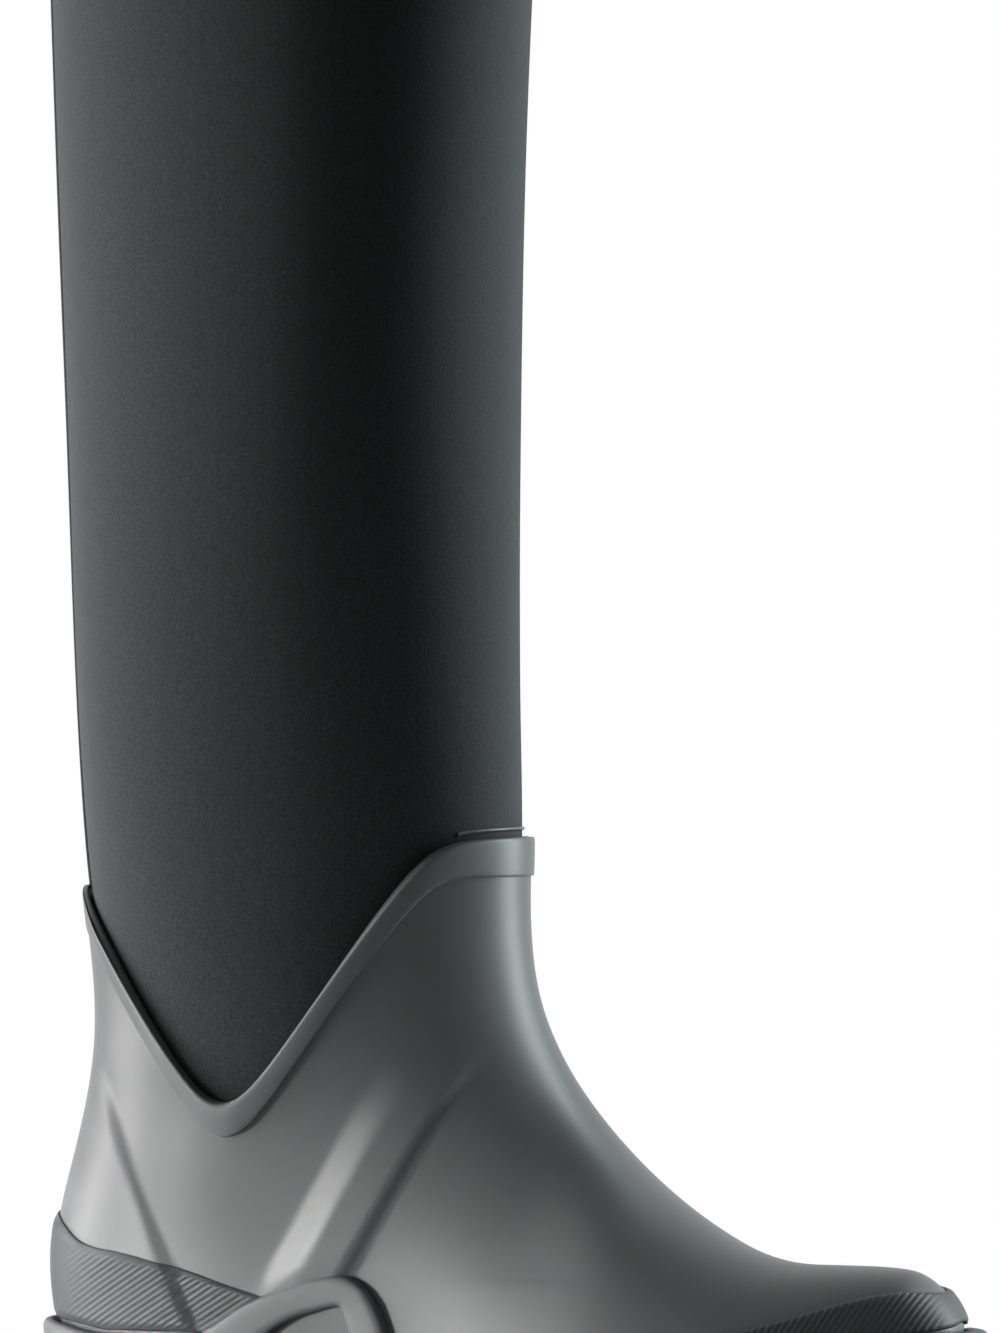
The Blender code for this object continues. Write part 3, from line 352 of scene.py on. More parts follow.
def strip_solid(outer, inner):
    """Return points and faces of a closed patch between two open grids."""
    rows, columns = outer.shape[:2]
    count = rows * columns
    points = np.concatenate((outer.reshape(-1, 3), inner.reshape(-1, 3)))
    faces = grid_faces(rows, columns, False) + grid_faces(rows, columns, False, count)
    at = np.arange(count).reshape(rows, columns)
    rim = np.concatenate((at[0], at[1:, -1], at[-1, -2::-1], at[-2:0:-1, 0])).tolist()
    for a, b in zip(rim, rim[1:] + rim[:1]):
        faces.append([a, b, count + b, count + a])
    return points, faces


print("a closed grid of 4 by 5 points has", len(grid_faces(4, 5, True)), "faces")

# %% [markdown]
# ## Geometry Nodes tools
# Ribs and stitches repeat by the hundred. Copies placed by hand would fix their number, so a node group makes them
# from a pitch and a size. `wire` adds a node and fills its inputs with values or with other nodes' outputs, here and
# in the materials.


# %% Node helpers
def fill(tree, node, inputs):
    """Set a node's inputs from values, or link them to other nodes' outputs."""
    for key, value in inputs.items():
        if isinstance(value, bpy.types.NodeSocket):
            tree.links.new(value, node.inputs[key])
        else:
            node.inputs[key].default_value = value


def wire(tree, kind, inputs=None, **settings):
    """Add a node with its settings and inputs, and return it."""
    made = tree.nodes.new(kind)
    for key, value in settings.items():
        setattr(made, key, value)
    fill(tree, made, inputs or {})
    return made


def math_node(tree, operation, *values):
    """Add a math node fed by sockets or numbers, and return its output."""
    return wire(tree, "ShaderNodeMath", dict(enumerate(values)), operation=operation).outputs[0]


def node_group(name, floats):
    """Make a geometry node group with named float inputs and a material, and return it with its entry node."""
    group = bpy.data.node_groups.new(name, "GeometryNodeTree")
    group.interface.new_socket("Geometry", in_out="INPUT", socket_type="NodeSocketGeometry")
    for label in floats:
        group.interface.new_socket(label, in_out="INPUT", socket_type="NodeSocketFloat")
    group.interface.new_socket("Material", in_out="INPUT", socket_type="NodeSocketMaterial")
    group.interface.new_socket("Geometry", in_out="OUTPUT", socket_type="NodeSocketGeometry")
    return group, wire(group, "NodeGroupInput").outputs


def finish_group(group, geometry, entry):
    """End a group with Realize Instances and Set Material."""
    real = wire(group, "GeometryNodeRealizeInstances", {0: geometry})
    paint = wire(group, "GeometryNodeSetMaterial", {"Geometry": real.outputs[0], "Material": entry["Material"]})
    wire(group, "NodeGroupOutput", {0: paint.outputs[0]})
    return group


def apply_group(obj, group, values):
    """Run a node group on a piece with named values and keep the result as its mesh."""
    step = obj.modifiers.new(group.name, "NODES")
    step.node_group = group
    for item in group.interface.items_tree:
        if item.in_out == "INPUT" and item.name in values:
            step[item.identifier] = values[item.name]
    bpy.context.view_layer.update()
    shaped = obj.evaluated_get(bpy.context.evaluated_depsgraph_get())
    mesh = bpy.data.meshes.new_from_object(shaped)
    obj.modifiers.clear()
    obj.data = mesh
    return obj


# %% [markdown]
# ### Ribs and stitches
# The moulded guards carry fine ribs: a sine of a stored phase pushes each point along its normal, so the ribs are real
# geometry and show in the outline. A stitch is a stretched ball, laid at every step of a line and turned along it.


# %% Rib and stitch groups
def corrugate_group():
    """Raise ribs along the normal from a stored phase and strength."""
    group, entry = node_group("corrugate", ("Pitch", "Depth"))
    phase, strength = (wire(group, "GeometryNodeInputNamedAttribute", {"Name": label}, data_type="FLOAT")
                       .outputs["Attribute"] for label in ("rib_phase", "rib_strength"))
    turns = math_node(group, "DIVIDE", phase, entry["Pitch"])
    wave = math_node(group, "SINE", math_node(group, "MULTIPLY", turns, 2 * math.pi))
    height = math_node(group, "MULTIPLY", wave, entry["Depth"])
    height = math_node(group, "MULTIPLY", height, strength)
    normal = wire(group, "GeometryNodeInputNormal").outputs[0]
    push = wire(group, "ShaderNodeVectorMath", {0: normal, "Scale": height}, operation="SCALE").outputs[0]
    move = wire(group, "GeometryNodeSetPosition", {"Geometry": entry["Geometry"], "Offset": push})
    return finish_group(group, move.outputs[0], entry)


def stitch_group():
    """Lay short rounded stitches along a line of edges."""
    group, entry = node_group("stitch_row", ("Pitch", "Length", "Radius"))
    curve = wire(group, "GeometryNodeMeshToCurve", {0: entry["Geometry"]})
    spaced = wire(group, "GeometryNodeResampleCurve", {"Curve": curve.outputs[0], "Length": entry["Pitch"]},
                  mode="LENGTH")
    ball = wire(group, "GeometryNodeMeshUVSphere", {"Segments": 8, "Rings": 6, "Radius": 1.0})
    smooth_ball = wire(group, "GeometryNodeSetShadeSmooth", {"Geometry": ball.outputs[0]})
    tangent = wire(group, "GeometryNodeInputTangent").outputs[0]
    turn = wire(group, "FunctionNodeAlignRotationToVector", {"Vector": tangent}, axis="Z")
    half = math_node(group, "MULTIPLY", entry["Length"], 0.5)
    size = wire(group, "ShaderNodeCombineXYZ", {"X": entry["Radius"], "Y": entry["Radius"], "Z": half})
    lay = wire(group, "GeometryNodeInstanceOnPoints", {
        "Points": spaced.outputs[0], "Instance": smooth_ball.outputs[0], "Rotation": turn.outputs[0],
        "Scale": size.outputs[0]})
    return finish_group(group, lay.outputs[0], entry)


corrugate = corrugate_group()
stitches = stitch_group()
print("node groups:", corrugate.name, stitches.name)

# %% [markdown]
# ## Materials
# Neoprene has a jersey face with a soft sheen, the foot is satin rubber, and the tape is a twill. Image textures would
# need a flat pattern for every piece, so each finish is a short node tree on Object coordinates instead: a fine noise
# for the grain, a slow one for the unevenness.

# %% The recipe
SLOW_SCALE, GLOSS_DRIFT, BUMP_STRENGTH = 45.0, 0.04, 0.5
SHEEN = {"Sheen Roughness": 0.45, "Sheen Tint": (0.92, 0.95, 1.0, 1)}


def finish(name, colour, roughness, grain, grain_depth, mottle=0.0, speckle=0.0, sheen=0.0, metallic=0.0,
           specular=0.5, twill=0.0):
    """Return a procedural material: fine grain and twill as bump, slow mottling as colour and roughness."""
    made = bpy.data.materials.new(name)
    made.use_nodes = True
    tree = made.node_tree
    shader = tree.nodes["Principled BSDF"]
    spot = wire(tree, "ShaderNodeTexCoord").outputs["Object"]
    slow, fine = (wire(tree, "ShaderNodeTexNoise", {"Vector": spot, "Scale": scale, "Detail": detail}).outputs["Fac"]
                  for scale, detail in ((SLOW_SCALE, 3.0), (grain, 2.0)))
    dark, light = ((*[c * share for c in colour], 1) for share in (1 - mottle, 1 + mottle))
    tone = wire(tree, "ShaderNodeMix", {"Factor": slow, "A": dark, "B": light}, data_type="RGBA")
    gloss = wire(tree, "ShaderNodeMapRange", {
        "Value": slow, "To Min": roughness - GLOSS_DRIFT, "To Max": roughness + GLOSS_DRIFT})
    fleck = wire(tree, "ShaderNodeMapRange", {
        "Value": fine, "From Min": 0.3, "From Max": 0.7, "To Min": 1 - speckle, "To Max": 1 + speckle})
    flecked = wire(tree, "ShaderNodeVectorMath", {0: tone.outputs["Result"], "Scale": fleck.outputs["Result"]},
                   operation="SCALE")
    raised = fine
    if twill:
        lines = wire(tree, "ShaderNodeTexWave", {"Vector": spot, "Scale": math.pi / (10 * twill)},
                     bands_direction="DIAGONAL")
        raised = math_node(tree, "ADD", raised, lines.outputs["Fac"])
    bump = wire(tree, "ShaderNodeBump", {"Height": raised, "Strength": BUMP_STRENGTH, "Distance": grain_depth})
    fill(tree, shader, {
        "Base Color": flecked.outputs[0], "Roughness": gloss.outputs["Result"], "Normal": bump.outputs["Normal"],
        "Metallic": metallic, "Specular IOR Level": specular})
    if sheen:
        fill(tree, shader, {"Sheen Weight": sheen, **SHEEN})
    return made


# %% The finishes
neoprene = finish("neoprene_jersey", (0.0215, 0.0225, 0.0235), 0.80, 1400, 0.00015, 0.12, 0.42, sheen=0.35,
                  specular=0.08)
lining_cloth = finish("lining_knit", (0.045, 0.046, 0.050), 0.9, 1200, 0.0002, 0.15, sheen=0.2)
tape_cloth = finish("woven_tape", (0.013, 0.013, 0.014), 0.85, 1800, 0.0003, 0.1, 0.3, sheen=0.2, twill=0.0011)
thread = finish("thread", (0.040, 0.041, 0.044), 0.7, 3000, 0.0001, 0.1)
rubber = finish("satin_rubber", (0.086, 0.088, 0.091), 0.40, 900, 0.00003, 0.05, specular=0.22)
# The guards are the shell's rubber, but their base colour is darkened as painted shade for the shadow in the rib
# grooves.
guard_rubber = finish("guard_rubber", (0.040, 0.042, 0.044), 0.48, 900, 0.00003, 0.05, specular=0.18)
sole_rubber = finish("sole_rubber", (0.050, 0.051, 0.054), 0.6, 700, 0.0001, 0.08)
bed_foam = finish("footbed_foam", (0.10, 0.10, 0.11), 0.9, 600, 0.0003, 0.1)
cover_cloth = finish("footbed_knit", (0.045, 0.046, 0.050), 0.95, 900, 0.0003, 0.1, sheen=0.3)
SHEET = ((0.62, 0.55, 0.42), 0.7, 500, 0.0001, 0.05)
inner_finishes = {
    "toe_stiffener": finish("stiffener_sheet_toe", *SHEET), "heel_stiffener": finish("stiffener_sheet_heel", *SHEET),
    "insole_board": finish("fibre_board", (0.33, 0.22, 0.13), 0.85, 800, 0.0002, 0.2),
    "shank": finish("spring_steel", (0.45, 0.46, 0.48), 0.35, 400, 0.00005, 0.05, metallic=1.0),
    "midsole": finish("midsole_foam", (0.55, 0.55, 0.55), 0.9, 500, 0.0003, 0.06),
    "heel_filler": finish("filler_foam", (0.30, 0.30, 0.31), 0.9, 500, 0.0003, 0.06)}
for name, look in inner_finishes.items():
    nodes[name].data.materials.clear()
    nodes[name].data.materials.append(look)
print("materials made:", len(bpy.data.materials))

# %% [markdown]
# ## The neoprene leg
# The leg and foot of such a boot are one foam sock, lined with knit. Cloth simulation could shape it, but neoprene is
# stiff enough to stand by itself. So it is the last's own surface, with a true wall and the faint waves that soft foam
# keeps.

# %% Bootie and lining
SOCK_POINTS, LINING_POINTS = 200, 120
WAVE_LARGE, WAVE_SMALL = 0.0004, 0.0002


def around(count):
    """Return evenly spaced angles round the boot."""
    return np.linspace(0, 2 * math.pi, count, endpoint=False)


def cup(theta, rho, outside, inside):
    """Return points and faces of a closed sock between two offsets."""
    a, r = np.meshgrid(theta, rho)
    skins = np.stack((layer(a, r, outside(a, r)), layer(a, r, inside(a, r))))
    rows, columns = a.shape
    count = rows * columns
    faces = grid_faces(rows, columns, True) + grid_faces(rows, columns, True, count)
    faces += cross_faces(columns) + cross_faces(columns, count)
    for c in range(columns):
        here, after = (count - columns + i for i in (c, (c + 1) % columns))
        faces.append([here, after, count + after, count + here])
    return skins.reshape(-1, 3), faces


def foam_waves(theta, rho):
    """Return the soft leg's faint waves above the rubber."""
    up = smooth(1.02, 1.2, rho)
    wave = np.sin(2 * theta + 5.0 * rho) * WAVE_LARGE + np.sin(3 * theta - 9.0 * rho + 1.0) * WAVE_SMALL
    return up * wave


sock_rows = np.concatenate((np.linspace(-2, 0, 9), np.linspace(0.03, 0.9, 30), np.linspace(0.92, 2.0, 90)))
bootie = new_piece("neoprene_leg", *cup(around(SOCK_POINTS), sock_rows, foam_waves,
                                        lambda a, r: foam_waves(a, r) - BOOTIE_WALL), neoprene)
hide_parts("neoprene_shaft", "neoprene_sock")
lining = new_piece("lining_sock", *cup(around(LINING_POINTS), sock_rows[::2], lambda a, r: -LINING_OUT,
                                       lambda a, r: -LINING_IN), lining_cloth)
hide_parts("bootie_lining")
print("leg:", len(bootie.data.polygons), "faces; lining:", len(lining.data.polygons))

# %% [markdown]
# ## Collar
# A woven tape is folded over the raw top edge and sewn through. A bevel on the foam's edge would look like one
# material, so the tape is its own tube of rings: down the outside, over the fold and down the inside, and back.

# %% Collar binding
BIND_DEPTH, BIND_THICK = 0.012, 0.0011
BIND_DROPS = (BIND_DEPTH, 0.0105, 0.007, 0.0035, 0.0012)
FOLD_HEIGHT, FOLD_SINK, FOLD_END = 0.6, 0.0008, 0.15
leg_length = front_length[-1] - front_length[front_top]


def binding_ring(drop, offset, lift):
    """Return one ring of the binding at a drop below the collar, an offset and a lift."""
    return layer(around(220), 2 - drop / leg_length, offset) + np.array((0, 0, lift))


fold_middle = -0.5 * LINING_IN
fold_half = 0.5 * LINING_IN + 0.0003
rings = []
for half, turn_back in ((fold_half + BIND_THICK, False), (fold_half, True)):
    path = [(d, fold_middle + half, 0.0) for d in BIND_DROPS]
    path += [(0.0, fold_middle + half * math.cos(t), FOLD_HEIGHT * half * math.sin(t) - FOLD_SINK)
             for t in np.linspace(FOLD_END, math.pi - FOLD_END, 9)]
    path += [(d, fold_middle - half, 0.0) for d in BIND_DROPS[::-1]]
    if turn_back:
        path = path[::-1]
    rings += [binding_ring(*p) for p in path]
binding = new_piece("collar_tape", *loop_of_rings(rings), tape_cloth)
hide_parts("collar_binding")
print("collar tape:", len(binding.data.polygons), "faces")

# %% [markdown]
# ### Back seam and stitches
# The leg is closed up the back, and a narrow tape covers that seam. It is a thin strip that lies on the foam and rounds
# off at its edges. The thread could be a bump texture, but stitches this size catch light, so the stitch group lays
# them along lines of edges.

# %% Back seam tape and stitches
TAPE_HALF_ANGLE, TAPE_POINTS = 0.105, 160
TAPE_THICK, TAPE_LIFT, TAPE_GAP = 0.0009, 0.0003, 0.0002
STITCH_DROP, STITCH_SHARE, STITCH_LIFT = 0.0090, 0.78, 0.00106
STITCH_PITCH, STITCH_LENGTH = 0.0034, 0.0026
STITCH_RADIUS = {"collar": 0.00035, "seam": 0.00020}


def edge_line(name, points, closed):
    """Make an object of edges through points, for the stitches to follow."""
    mesh = bpy.data.meshes.new(name)
    count = len(points)
    pairs = [(i, i + 1) for i in range(count - 1)] + ([(count - 1, 0)] if closed else [])
    mesh.from_pydata(points.tolist(), pairs, [])
    return add_to_scene(bpy.data.objects.new(name, mesh))


stitch_rows = []
for side, sign in (("outer", 1), ("inner", -1)):
    ring = binding_ring(STITCH_DROP, fold_middle + sign * (fold_half + BIND_THICK), 0)
    stitch_rows.append(edge_line("collar_stitches_" + side, ring, True))
tape_angles = np.linspace(math.pi - TAPE_HALF_ANGLE, math.pi + TAPE_HALF_ANGLE, 25)
tape_rows = np.linspace(1.0, 2 - BIND_DEPTH / leg_length - 0.004, TAPE_POINTS)
tape_a, tape_r = np.meshgrid(tape_angles, tape_rows)
across = np.abs(tape_a - math.pi) / TAPE_HALF_ANGLE
lift = foam_waves(tape_a, tape_r)
rounded = TAPE_THICK * np.sqrt(np.maximum(1 - smooth(0.86, 1.0, across) ** 2, 0.04))
tape = new_piece("seam_tape", *strip_solid(layer(tape_a, tape_r, lift + TAPE_LIFT + rounded),
                                           layer(tape_a, tape_r, lift + TAPE_GAP)), neoprene)
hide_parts("back_seam_tape")
for side, sign in (("inner", -1), ("outer", 1)):
    angle = math.pi + sign * STITCH_SHARE * TAPE_HALF_ANGLE
    line = layer(angle, tape_rows, foam_waves(angle, tape_rows) + STITCH_LIFT)
    stitch_rows.append(edge_line("seam_stitches_" + side, line, False))
for row in stitch_rows:
    apply_group(row, stitches, {"Pitch": STITCH_PITCH, "Length": STITCH_LENGTH,
                                "Radius": STITCH_RADIUS[row.name.split("_")[0]], "Material": thread})
print("stitch rows:", len(stitch_rows))

# %% [markdown]
# ## The rubber foot
# The foot is moulded in one piece, with a broad ridge down each side, a hollow in front of it, and a crease that sets
# off the heel. Sculpting them would be lost with every change of the last. So the mouldings are an added thickness,
# written in side view, and fade out under the topline.

# %% Shell
SHELL_IN = 0.0003
SHELL_POINTS = 300
RIDGE_HEIGHT, VALLEY_DEPTH, CREASE_DEPTH, TOE_FULLNESS = 0.0028, 0.0007, 0.0015, 0.0021
VALLEY_REACH, CREASE_REACH = 0.014, 0.012
LEAN_FOOT, LEAN_RISE = 0.045, 0.065
FOLD_LINE, HEEL_LINE = (0.0837, 0.1215), (0.0448, 0.0177)
FLARE_ALL, FLARE_SIDE, FLARE_BACK = 0.0002, 0.0012, 0.0016


def slanted(x, z, foot, top):
    """Return the distance from a line that leans in side view, foot at 45 mm and top at 110 mm."""
    t = (z - LEAN_FOOT) / LEAN_RISE
    return x - (foot + t * (top - foot))


def relief(theta, rho):
    """Return the shell's mouldings as an added thickness."""
    p = last_point(theta, rho)
    x, z = p[..., 0], p[..., 2]
    fade = 1 - smooth(0.096, 0.118, z)
    fold = slanted(x, z, *FOLD_LINE)
    front_flank = smooth(0.0065, 0.0125, fold)
    ridge = RIDGE_HEIGHT * smooth(-0.017, -0.003, fold) * (1 - front_flank)
    valley = VALLEY_DEPTH * front_flank * np.exp(-np.maximum(fold - 0.0125, 0) / VALLEY_REACH)
    heel_line = slanted(x, z, *HEEL_LINE)
    crease = CREASE_DEPTH * smooth(-0.0055, 0.0, heel_line) * np.exp(-np.maximum(heel_line, 0) / CREASE_REACH)
    toe = smooth(0.205, 0.238, x) * (1 - smooth(0.258, 0.270, x)) * smooth(0.034, 0.046, z)
    sides = fade * smooth(0.036, 0.052, z) * (ridge - valley) - fade * smooth(0.028, 0.036, z) * crease
    return sides + TOE_FULLNESS * toe


def top_flare(theta, rho):
    """Return how far the shell's free top edge stands off the leg: most beside the heel, least right behind."""
    back = -np.cos(theta)
    stand_off = FLARE_ALL + FLARE_SIDE * smooth(-0.3, 0.5, back) - FLARE_BACK * smooth(0.82, 1.0, back)
    return stand_off * smooth(0.90, 1.0, rho)


shell_angles = around(SHELL_POINTS)
shell_rows = np.concatenate((np.linspace(-2, 0, 10), np.linspace(0.006, 0.992, 150)))
shell_a, shell_r = np.meshgrid(shell_angles, shell_rows)
rings = list(layer(shell_a, shell_r, SHELL_OUT + relief(shell_a, shell_r) + top_flare(shell_a, shell_r)))
shell_lip = ((0.997, SHELL_OUT + 0.0004), (1.0, SHELL_OUT - 0.0002), (1.001, SHELL_OUT - 0.0012),
             (0.999, 0.0012), (0.99, 0.0008))
shell_inside = [(r, SHELL_IN) for r in (*np.linspace(0.96, 0.0, 49), -0.5, -1.0, -2.0)]
for share, offset in (*shell_lip, *shell_inside):
    rings.append(layer(shell_angles, share, offset))
shell = new_piece("rubber_foot", *loop_of_rings(rings), rubber)
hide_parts("rubber_shell")
print("shell:", len(shell.data.polygons), "faces")

# %% [markdown]
# ### Topline band
# A strip of rubber thickens the shell's top edge and keeps it from tearing. A curve with a bevel profile would twist
# round the V. So each ring of the strip follows the topline at its own share of the strip's width, and the lower edge
# is undercut to hold a shadow.

# %% Topline band
BAND_WIDTH, BAND_FRONT_EXTRA, BAND_BED = 0.0098, 0.0018, 0.0003
RISE_BACK, RISE_LIMB, RISE_FRONT_LOSS = 0.30, 2.00, 1.70
BAND_PROFILE = (
    (0.06, 0.0001), (0.045, 0.0003), (0.0, 0.0007), (0.025, 0.00095), (0.07, 0.00105), (0.2, 0.00112),
    (0.5, 0.00115), (0.8, 0.00112), (0.92, 0.00105), (0.975, 0.0008), (1.0, 0.0004), (1.005, 0.0),
    (0.995, -0.0006), (0.94, 0.0), (0.6, 0.0001), (0.3, 0.0001))
band_angles = around(420)
band_front = np.cos(band_angles)
band_width = BAND_WIDTH + BAND_FRONT_EXTRA * smooth(0.75, 1.0, band_front)
band_reach = last_point(band_angles, 1.0) - last_point(band_angles, 0.9)
band_share = band_width / (np.linalg.norm(band_reach, axis=-1) / 0.1)
band_rise = (RISE_BACK + RISE_LIMB * smooth(-0.45, -0.12, band_front)
             - RISE_FRONT_LOSS * smooth(0.60, 0.97, band_front))
rings = []
for share, height in BAND_PROFILE:
    rho = 1 - band_share * (1 - share)
    rings.append(layer(band_angles, rho, SHELL_OUT + BAND_BED + height * band_rise + top_flare(band_angles, rho)))
band = new_piece("topline_strip", *loop_of_rings(rings), rubber)
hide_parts("topline_band")
print("band:", len(band.data.polygons), "faces")

# %% [markdown]
# ### Rim line
# Above the front of the band, the photograph shows a thin pale line on the neoprene, where cement has squeezed out. It
# could be painted on with a material mask, but a low bead casts its own small shadow.

# %% Rim line
RIM_LIFT, RIM_HALF_WIDTH, RIM_HEIGHT, RIM_END = 0.0026, 0.0005, 0.0005, 0.60
bead_a, bead_t = np.meshgrid(np.linspace(-RIM_END, RIM_END, 120), np.linspace(-1, 1, 9))
bead_r = 1 + (RIM_LIFT + RIM_HALF_WIDTH * bead_t) / leg_length
bead_fade = 1 - smooth(0.45, RIM_END, np.abs(bead_a))
bead_height = RIM_HEIGHT * np.sqrt(np.clip(1 - bead_t ** 2, 0.02, 1)) * bead_fade + 0.0002
rim_line = new_piece("rim_cement_line", *strip_solid(layer(bead_a, bead_r, bead_height + 0.0001),
                                                     layer(bead_a, bead_r, 0.0001)), rubber)
print("rim line:", len(rim_line.data.polygons), "faces")

# %% [markdown]
# ## Ribbed guards
# Ribbed patches are moulded on at the toe and the heel, where a boot scuffs. A projected decal could not raise ribs in
# the outline. So each guard is a fine patch of the last between the sole's ledge and a spline, and it stores how far
# along the rib pattern a point lies and how strong the ribs are there.

# %% Guard outline
LEDGE_RISE, LEDGE_HEEL_RISE = 0.0080, 0.0040
GUARD_SHIFT, GUARD_CLEAR, GUARD_LEAST = 0.0088, 0.0006, 0.012


def ledge(x):
    """Return the height of the sole's ledge, which lifts at the back of the heel."""
    return seat(x) + LEDGE_RISE + LEDGE_HEEL_RISE * (1 - smooth(-0.010, 0.0220, x))


def guard_patch(middle, end_x, top_height, columns, rows):
    """Return angles and rows of a guard round the toe or the heel, with shares across and up it."""
    fan = np.linspace(0, math.pi, 400)
    steps = np.linspace(0, 1, 160)
    fan_a, fan_r = np.meshgrid(fan, steps)
    side = last_point(fan_a, fan_r)

    def crossing(height):
        over = side[..., 2] - height(side[..., 0])
        i = np.clip(np.argmax(over >= 0, axis=0), 1, len(steps) - 1)
        below = np.take_along_axis(over, (i - 1)[None], 0)[0]
        above = np.take_along_axis(over, i[None], 0)[0]
        return steps[i - 1] + np.clip(-below / (above - below), 0, 1) * steps[1]

    low = crossing(lambda x: np.maximum(seat_top(x), ledge(x - GUARD_SHIFT)) + GUARD_CLEAR)
    high = np.maximum(crossing(top_height), low + GUARD_LEAST)
    turns = np.linspace(-1, 1, columns)
    angles = []
    rhos = []
    for v in np.linspace(0, 1, rows):
        rho = low + (high - low) * v
        end = np.interp(-end_x(v), -last_point(fan, rho)[:, 0], fan)
        angles.append(middle + turns * abs(end - middle))
        rhos.append(np.interp(np.arccos(np.cos(angles[-1])), fan, rho))
    up = np.broadcast_to(np.linspace(0, 1, rows)[:, None], (rows, columns))
    return np.array(angles), np.array(rhos), np.broadcast_to(turns, (rows, columns)), up


toe_top = natural_spline((0.1700, 0.1943, 0.2252, 0.2445, 0.2495, 0.2638, LAST_LENGTH),
                         (0.0280, 0.0300, 0.0344, 0.0390, 0.0400, 0.0416, 0.0418))
heel_top = natural_spline((-0.0040, 0.0, 0.0095, 0.0224, 0.0328, 0.0457, 0.0569, 0.0664, 0.0780),
                          (0.0655, 0.0645, 0.0580, 0.0548, 0.0527, 0.0494, 0.0458, 0.0428, 0.0405))
toe_patch = guard_patch(0.0, lambda v: 0.1700, toe_top, 900, 34)
heel_patch = guard_patch(math.pi, lambda v: 0.0575 + 0.0185 * v, heel_top, 640, 60)
print("guard patches:", toe_patch[0].shape, heel_patch[0].shape)

# %% [markdown]
# ### The two guards
# On the real boot the ribs lean forward and fade towards the front of the toe and the back of the heel. Their phase is
# straight in side view, so they stay straight to the camera round the curve. Ribs measured along the surface would
# fan out instead.

# %% Guards
GUARD_THICK, GUARD_BED, GUARD_SINK, GUARD_ROUND = 0.0014, 0.0002, 0.0001, 0.014
RIB_PITCH = {"toe_guard": 0.00166, "heel_guard": 0.00163}
RIB_DEPTH = {"toe_guard": 0.00030, "heel_guard": 0.00010}
RIB_LEAN = {"toe_guard": math.radians(62), "heel_guard": math.radians(32)}
RIB_START = {"toe_guard": (0.08, 0.30), "heel_guard": (0.25, 0.58)}


def make_guard(name, node, patch):
    """Make a ribbed guard from its patch, with ribs that fade at its edges and its middle."""
    angles, rhos, turn, up = patch
    edge = np.minimum.reduce((1 - np.abs(turn), 0.12 * up + 0.004, 0.12 * (1 - up) + 0.001))
    rounding = np.sqrt(np.clip(edge / GUARD_ROUND, 0.02, 1))
    base = SHELL_OUT + relief(angles, rhos) + GUARD_BED
    outer = layer(angles, rhos, base + GUARD_THICK * rounding)
    inner = layer(angles, rhos, base - GUARD_SINK)
    made = new_piece(name, *strip_solid(outer, inner), guard_rubber, weld=False)
    lean = RIB_LEAN[node]
    phase = outer[..., 2] * math.cos(lean) - outer[..., 0] * math.sin(lean)
    fade = smooth(0.0, 0.10, up) * (1 - smooth(0.90, 1.0, up)) * (1 - smooth(0.95, 1.0, np.abs(turn)))
    strength = fade * smooth(*RIB_START[node], np.abs(turn))
    for label, values in (("rib_phase", phase), ("rib_strength", strength)):
        attribute = made.data.attributes.new(label, "FLOAT", "POINT")
        attribute.data.foreach_set("value", np.concatenate((values.reshape(-1), np.zeros(values.size))))
    apply_group(made, corrugate, {"Pitch": RIB_PITCH[node], "Depth": RIB_DEPTH[node], "Material": guard_rubber})
    made.data.shade_smooth()
    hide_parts(node)
    return made


toe_guard = make_guard("toe_bumper", "toe_guard", toe_patch)
heel_guard = make_guard("heel_patch", "heel_guard", heel_patch)
print("guards:", len(toe_guard.data.polygons), len(heel_guard.data.polygons), "faces")

# %% [markdown]
# ## Arch loops
# A rounded band stands proud over the waist on each side and drops steeply in front. A bevelled curve would have one
# width all along. This band is a strip between two splines, because its legs differ in width.

# %% Arch loops
LOOP_RISE, LOOP_BASE, LOOP_BED, LOOP_SINK = 0.0034, 0.0012, 0.0004, 0.0006
LOOP_OUTER = natural_spline((0, 0.32, 0.50, 0.66, 0.80, 0.94, 1), np.array((
    (49.6, 29.9), (71.0, 42.8), (84.1, 47.3), (94.9, 48.8), (103.3, 44.3), (108.9, 33.8), (110.0, 29.9))) / 1000)
LOOP_INNER = natural_spline((0, 0.35, 0.55, 0.70, 0.86, 1), np.array((
    (71.3, 29.9), (81.1, 36.2), (90.5, 38.9), (95.1, 38.9), (96.7, 34.4), (98.3, 29.9))) / 1000)


def side_layer(inner, x, z, offset):
    """Return side-view points placed on one side of the last at an offset."""
    sign = 1 if inner else -1

    def place(px, pz):
        return np.stack((px, sign * half_width(px, pz, inner), pz), -1)
    n = np.cross(place(x + 2e-4, z) - place(x - 2e-4, z), place(x, z + 2e-4) - place(x, z - 2e-4)) * -sign
    n /= np.linalg.norm(n, axis=-1, keepdims=True)
    return place(x, z) + n * np.asarray(offset)[..., None] - np.array((HALF, 0, 0))


def arch_loop(name, node, inner):
    """Make the raised arched band of one side."""
    t = np.linspace(0, 1, 110)
    share = np.linspace(-1, 1, 27)
    across = (share[:, None, None] + 1) / 2
    xz = LOOP_INNER(t)[None] * (1 - across) + LOOP_OUTER(t)[None] * across
    xz[..., 1] = np.maximum(xz[..., 1], seat_top(xz[..., 0]) + 0.0004)
    bulge = np.maximum(1 - np.abs(share) ** 5, 0.0) ** 0.5
    base = SHELL_OUT + LOOP_BED
    outside = side_layer(inner, xz[..., 0], xz[..., 1], base + LOOP_BASE + LOOP_RISE * bulge[:, None])
    inside = side_layer(inner, xz[..., 0], xz[..., 1], base - LOOP_SINK)
    made = new_piece(name, *strip_solid(outside, inside), rubber)
    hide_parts(node)
    return made


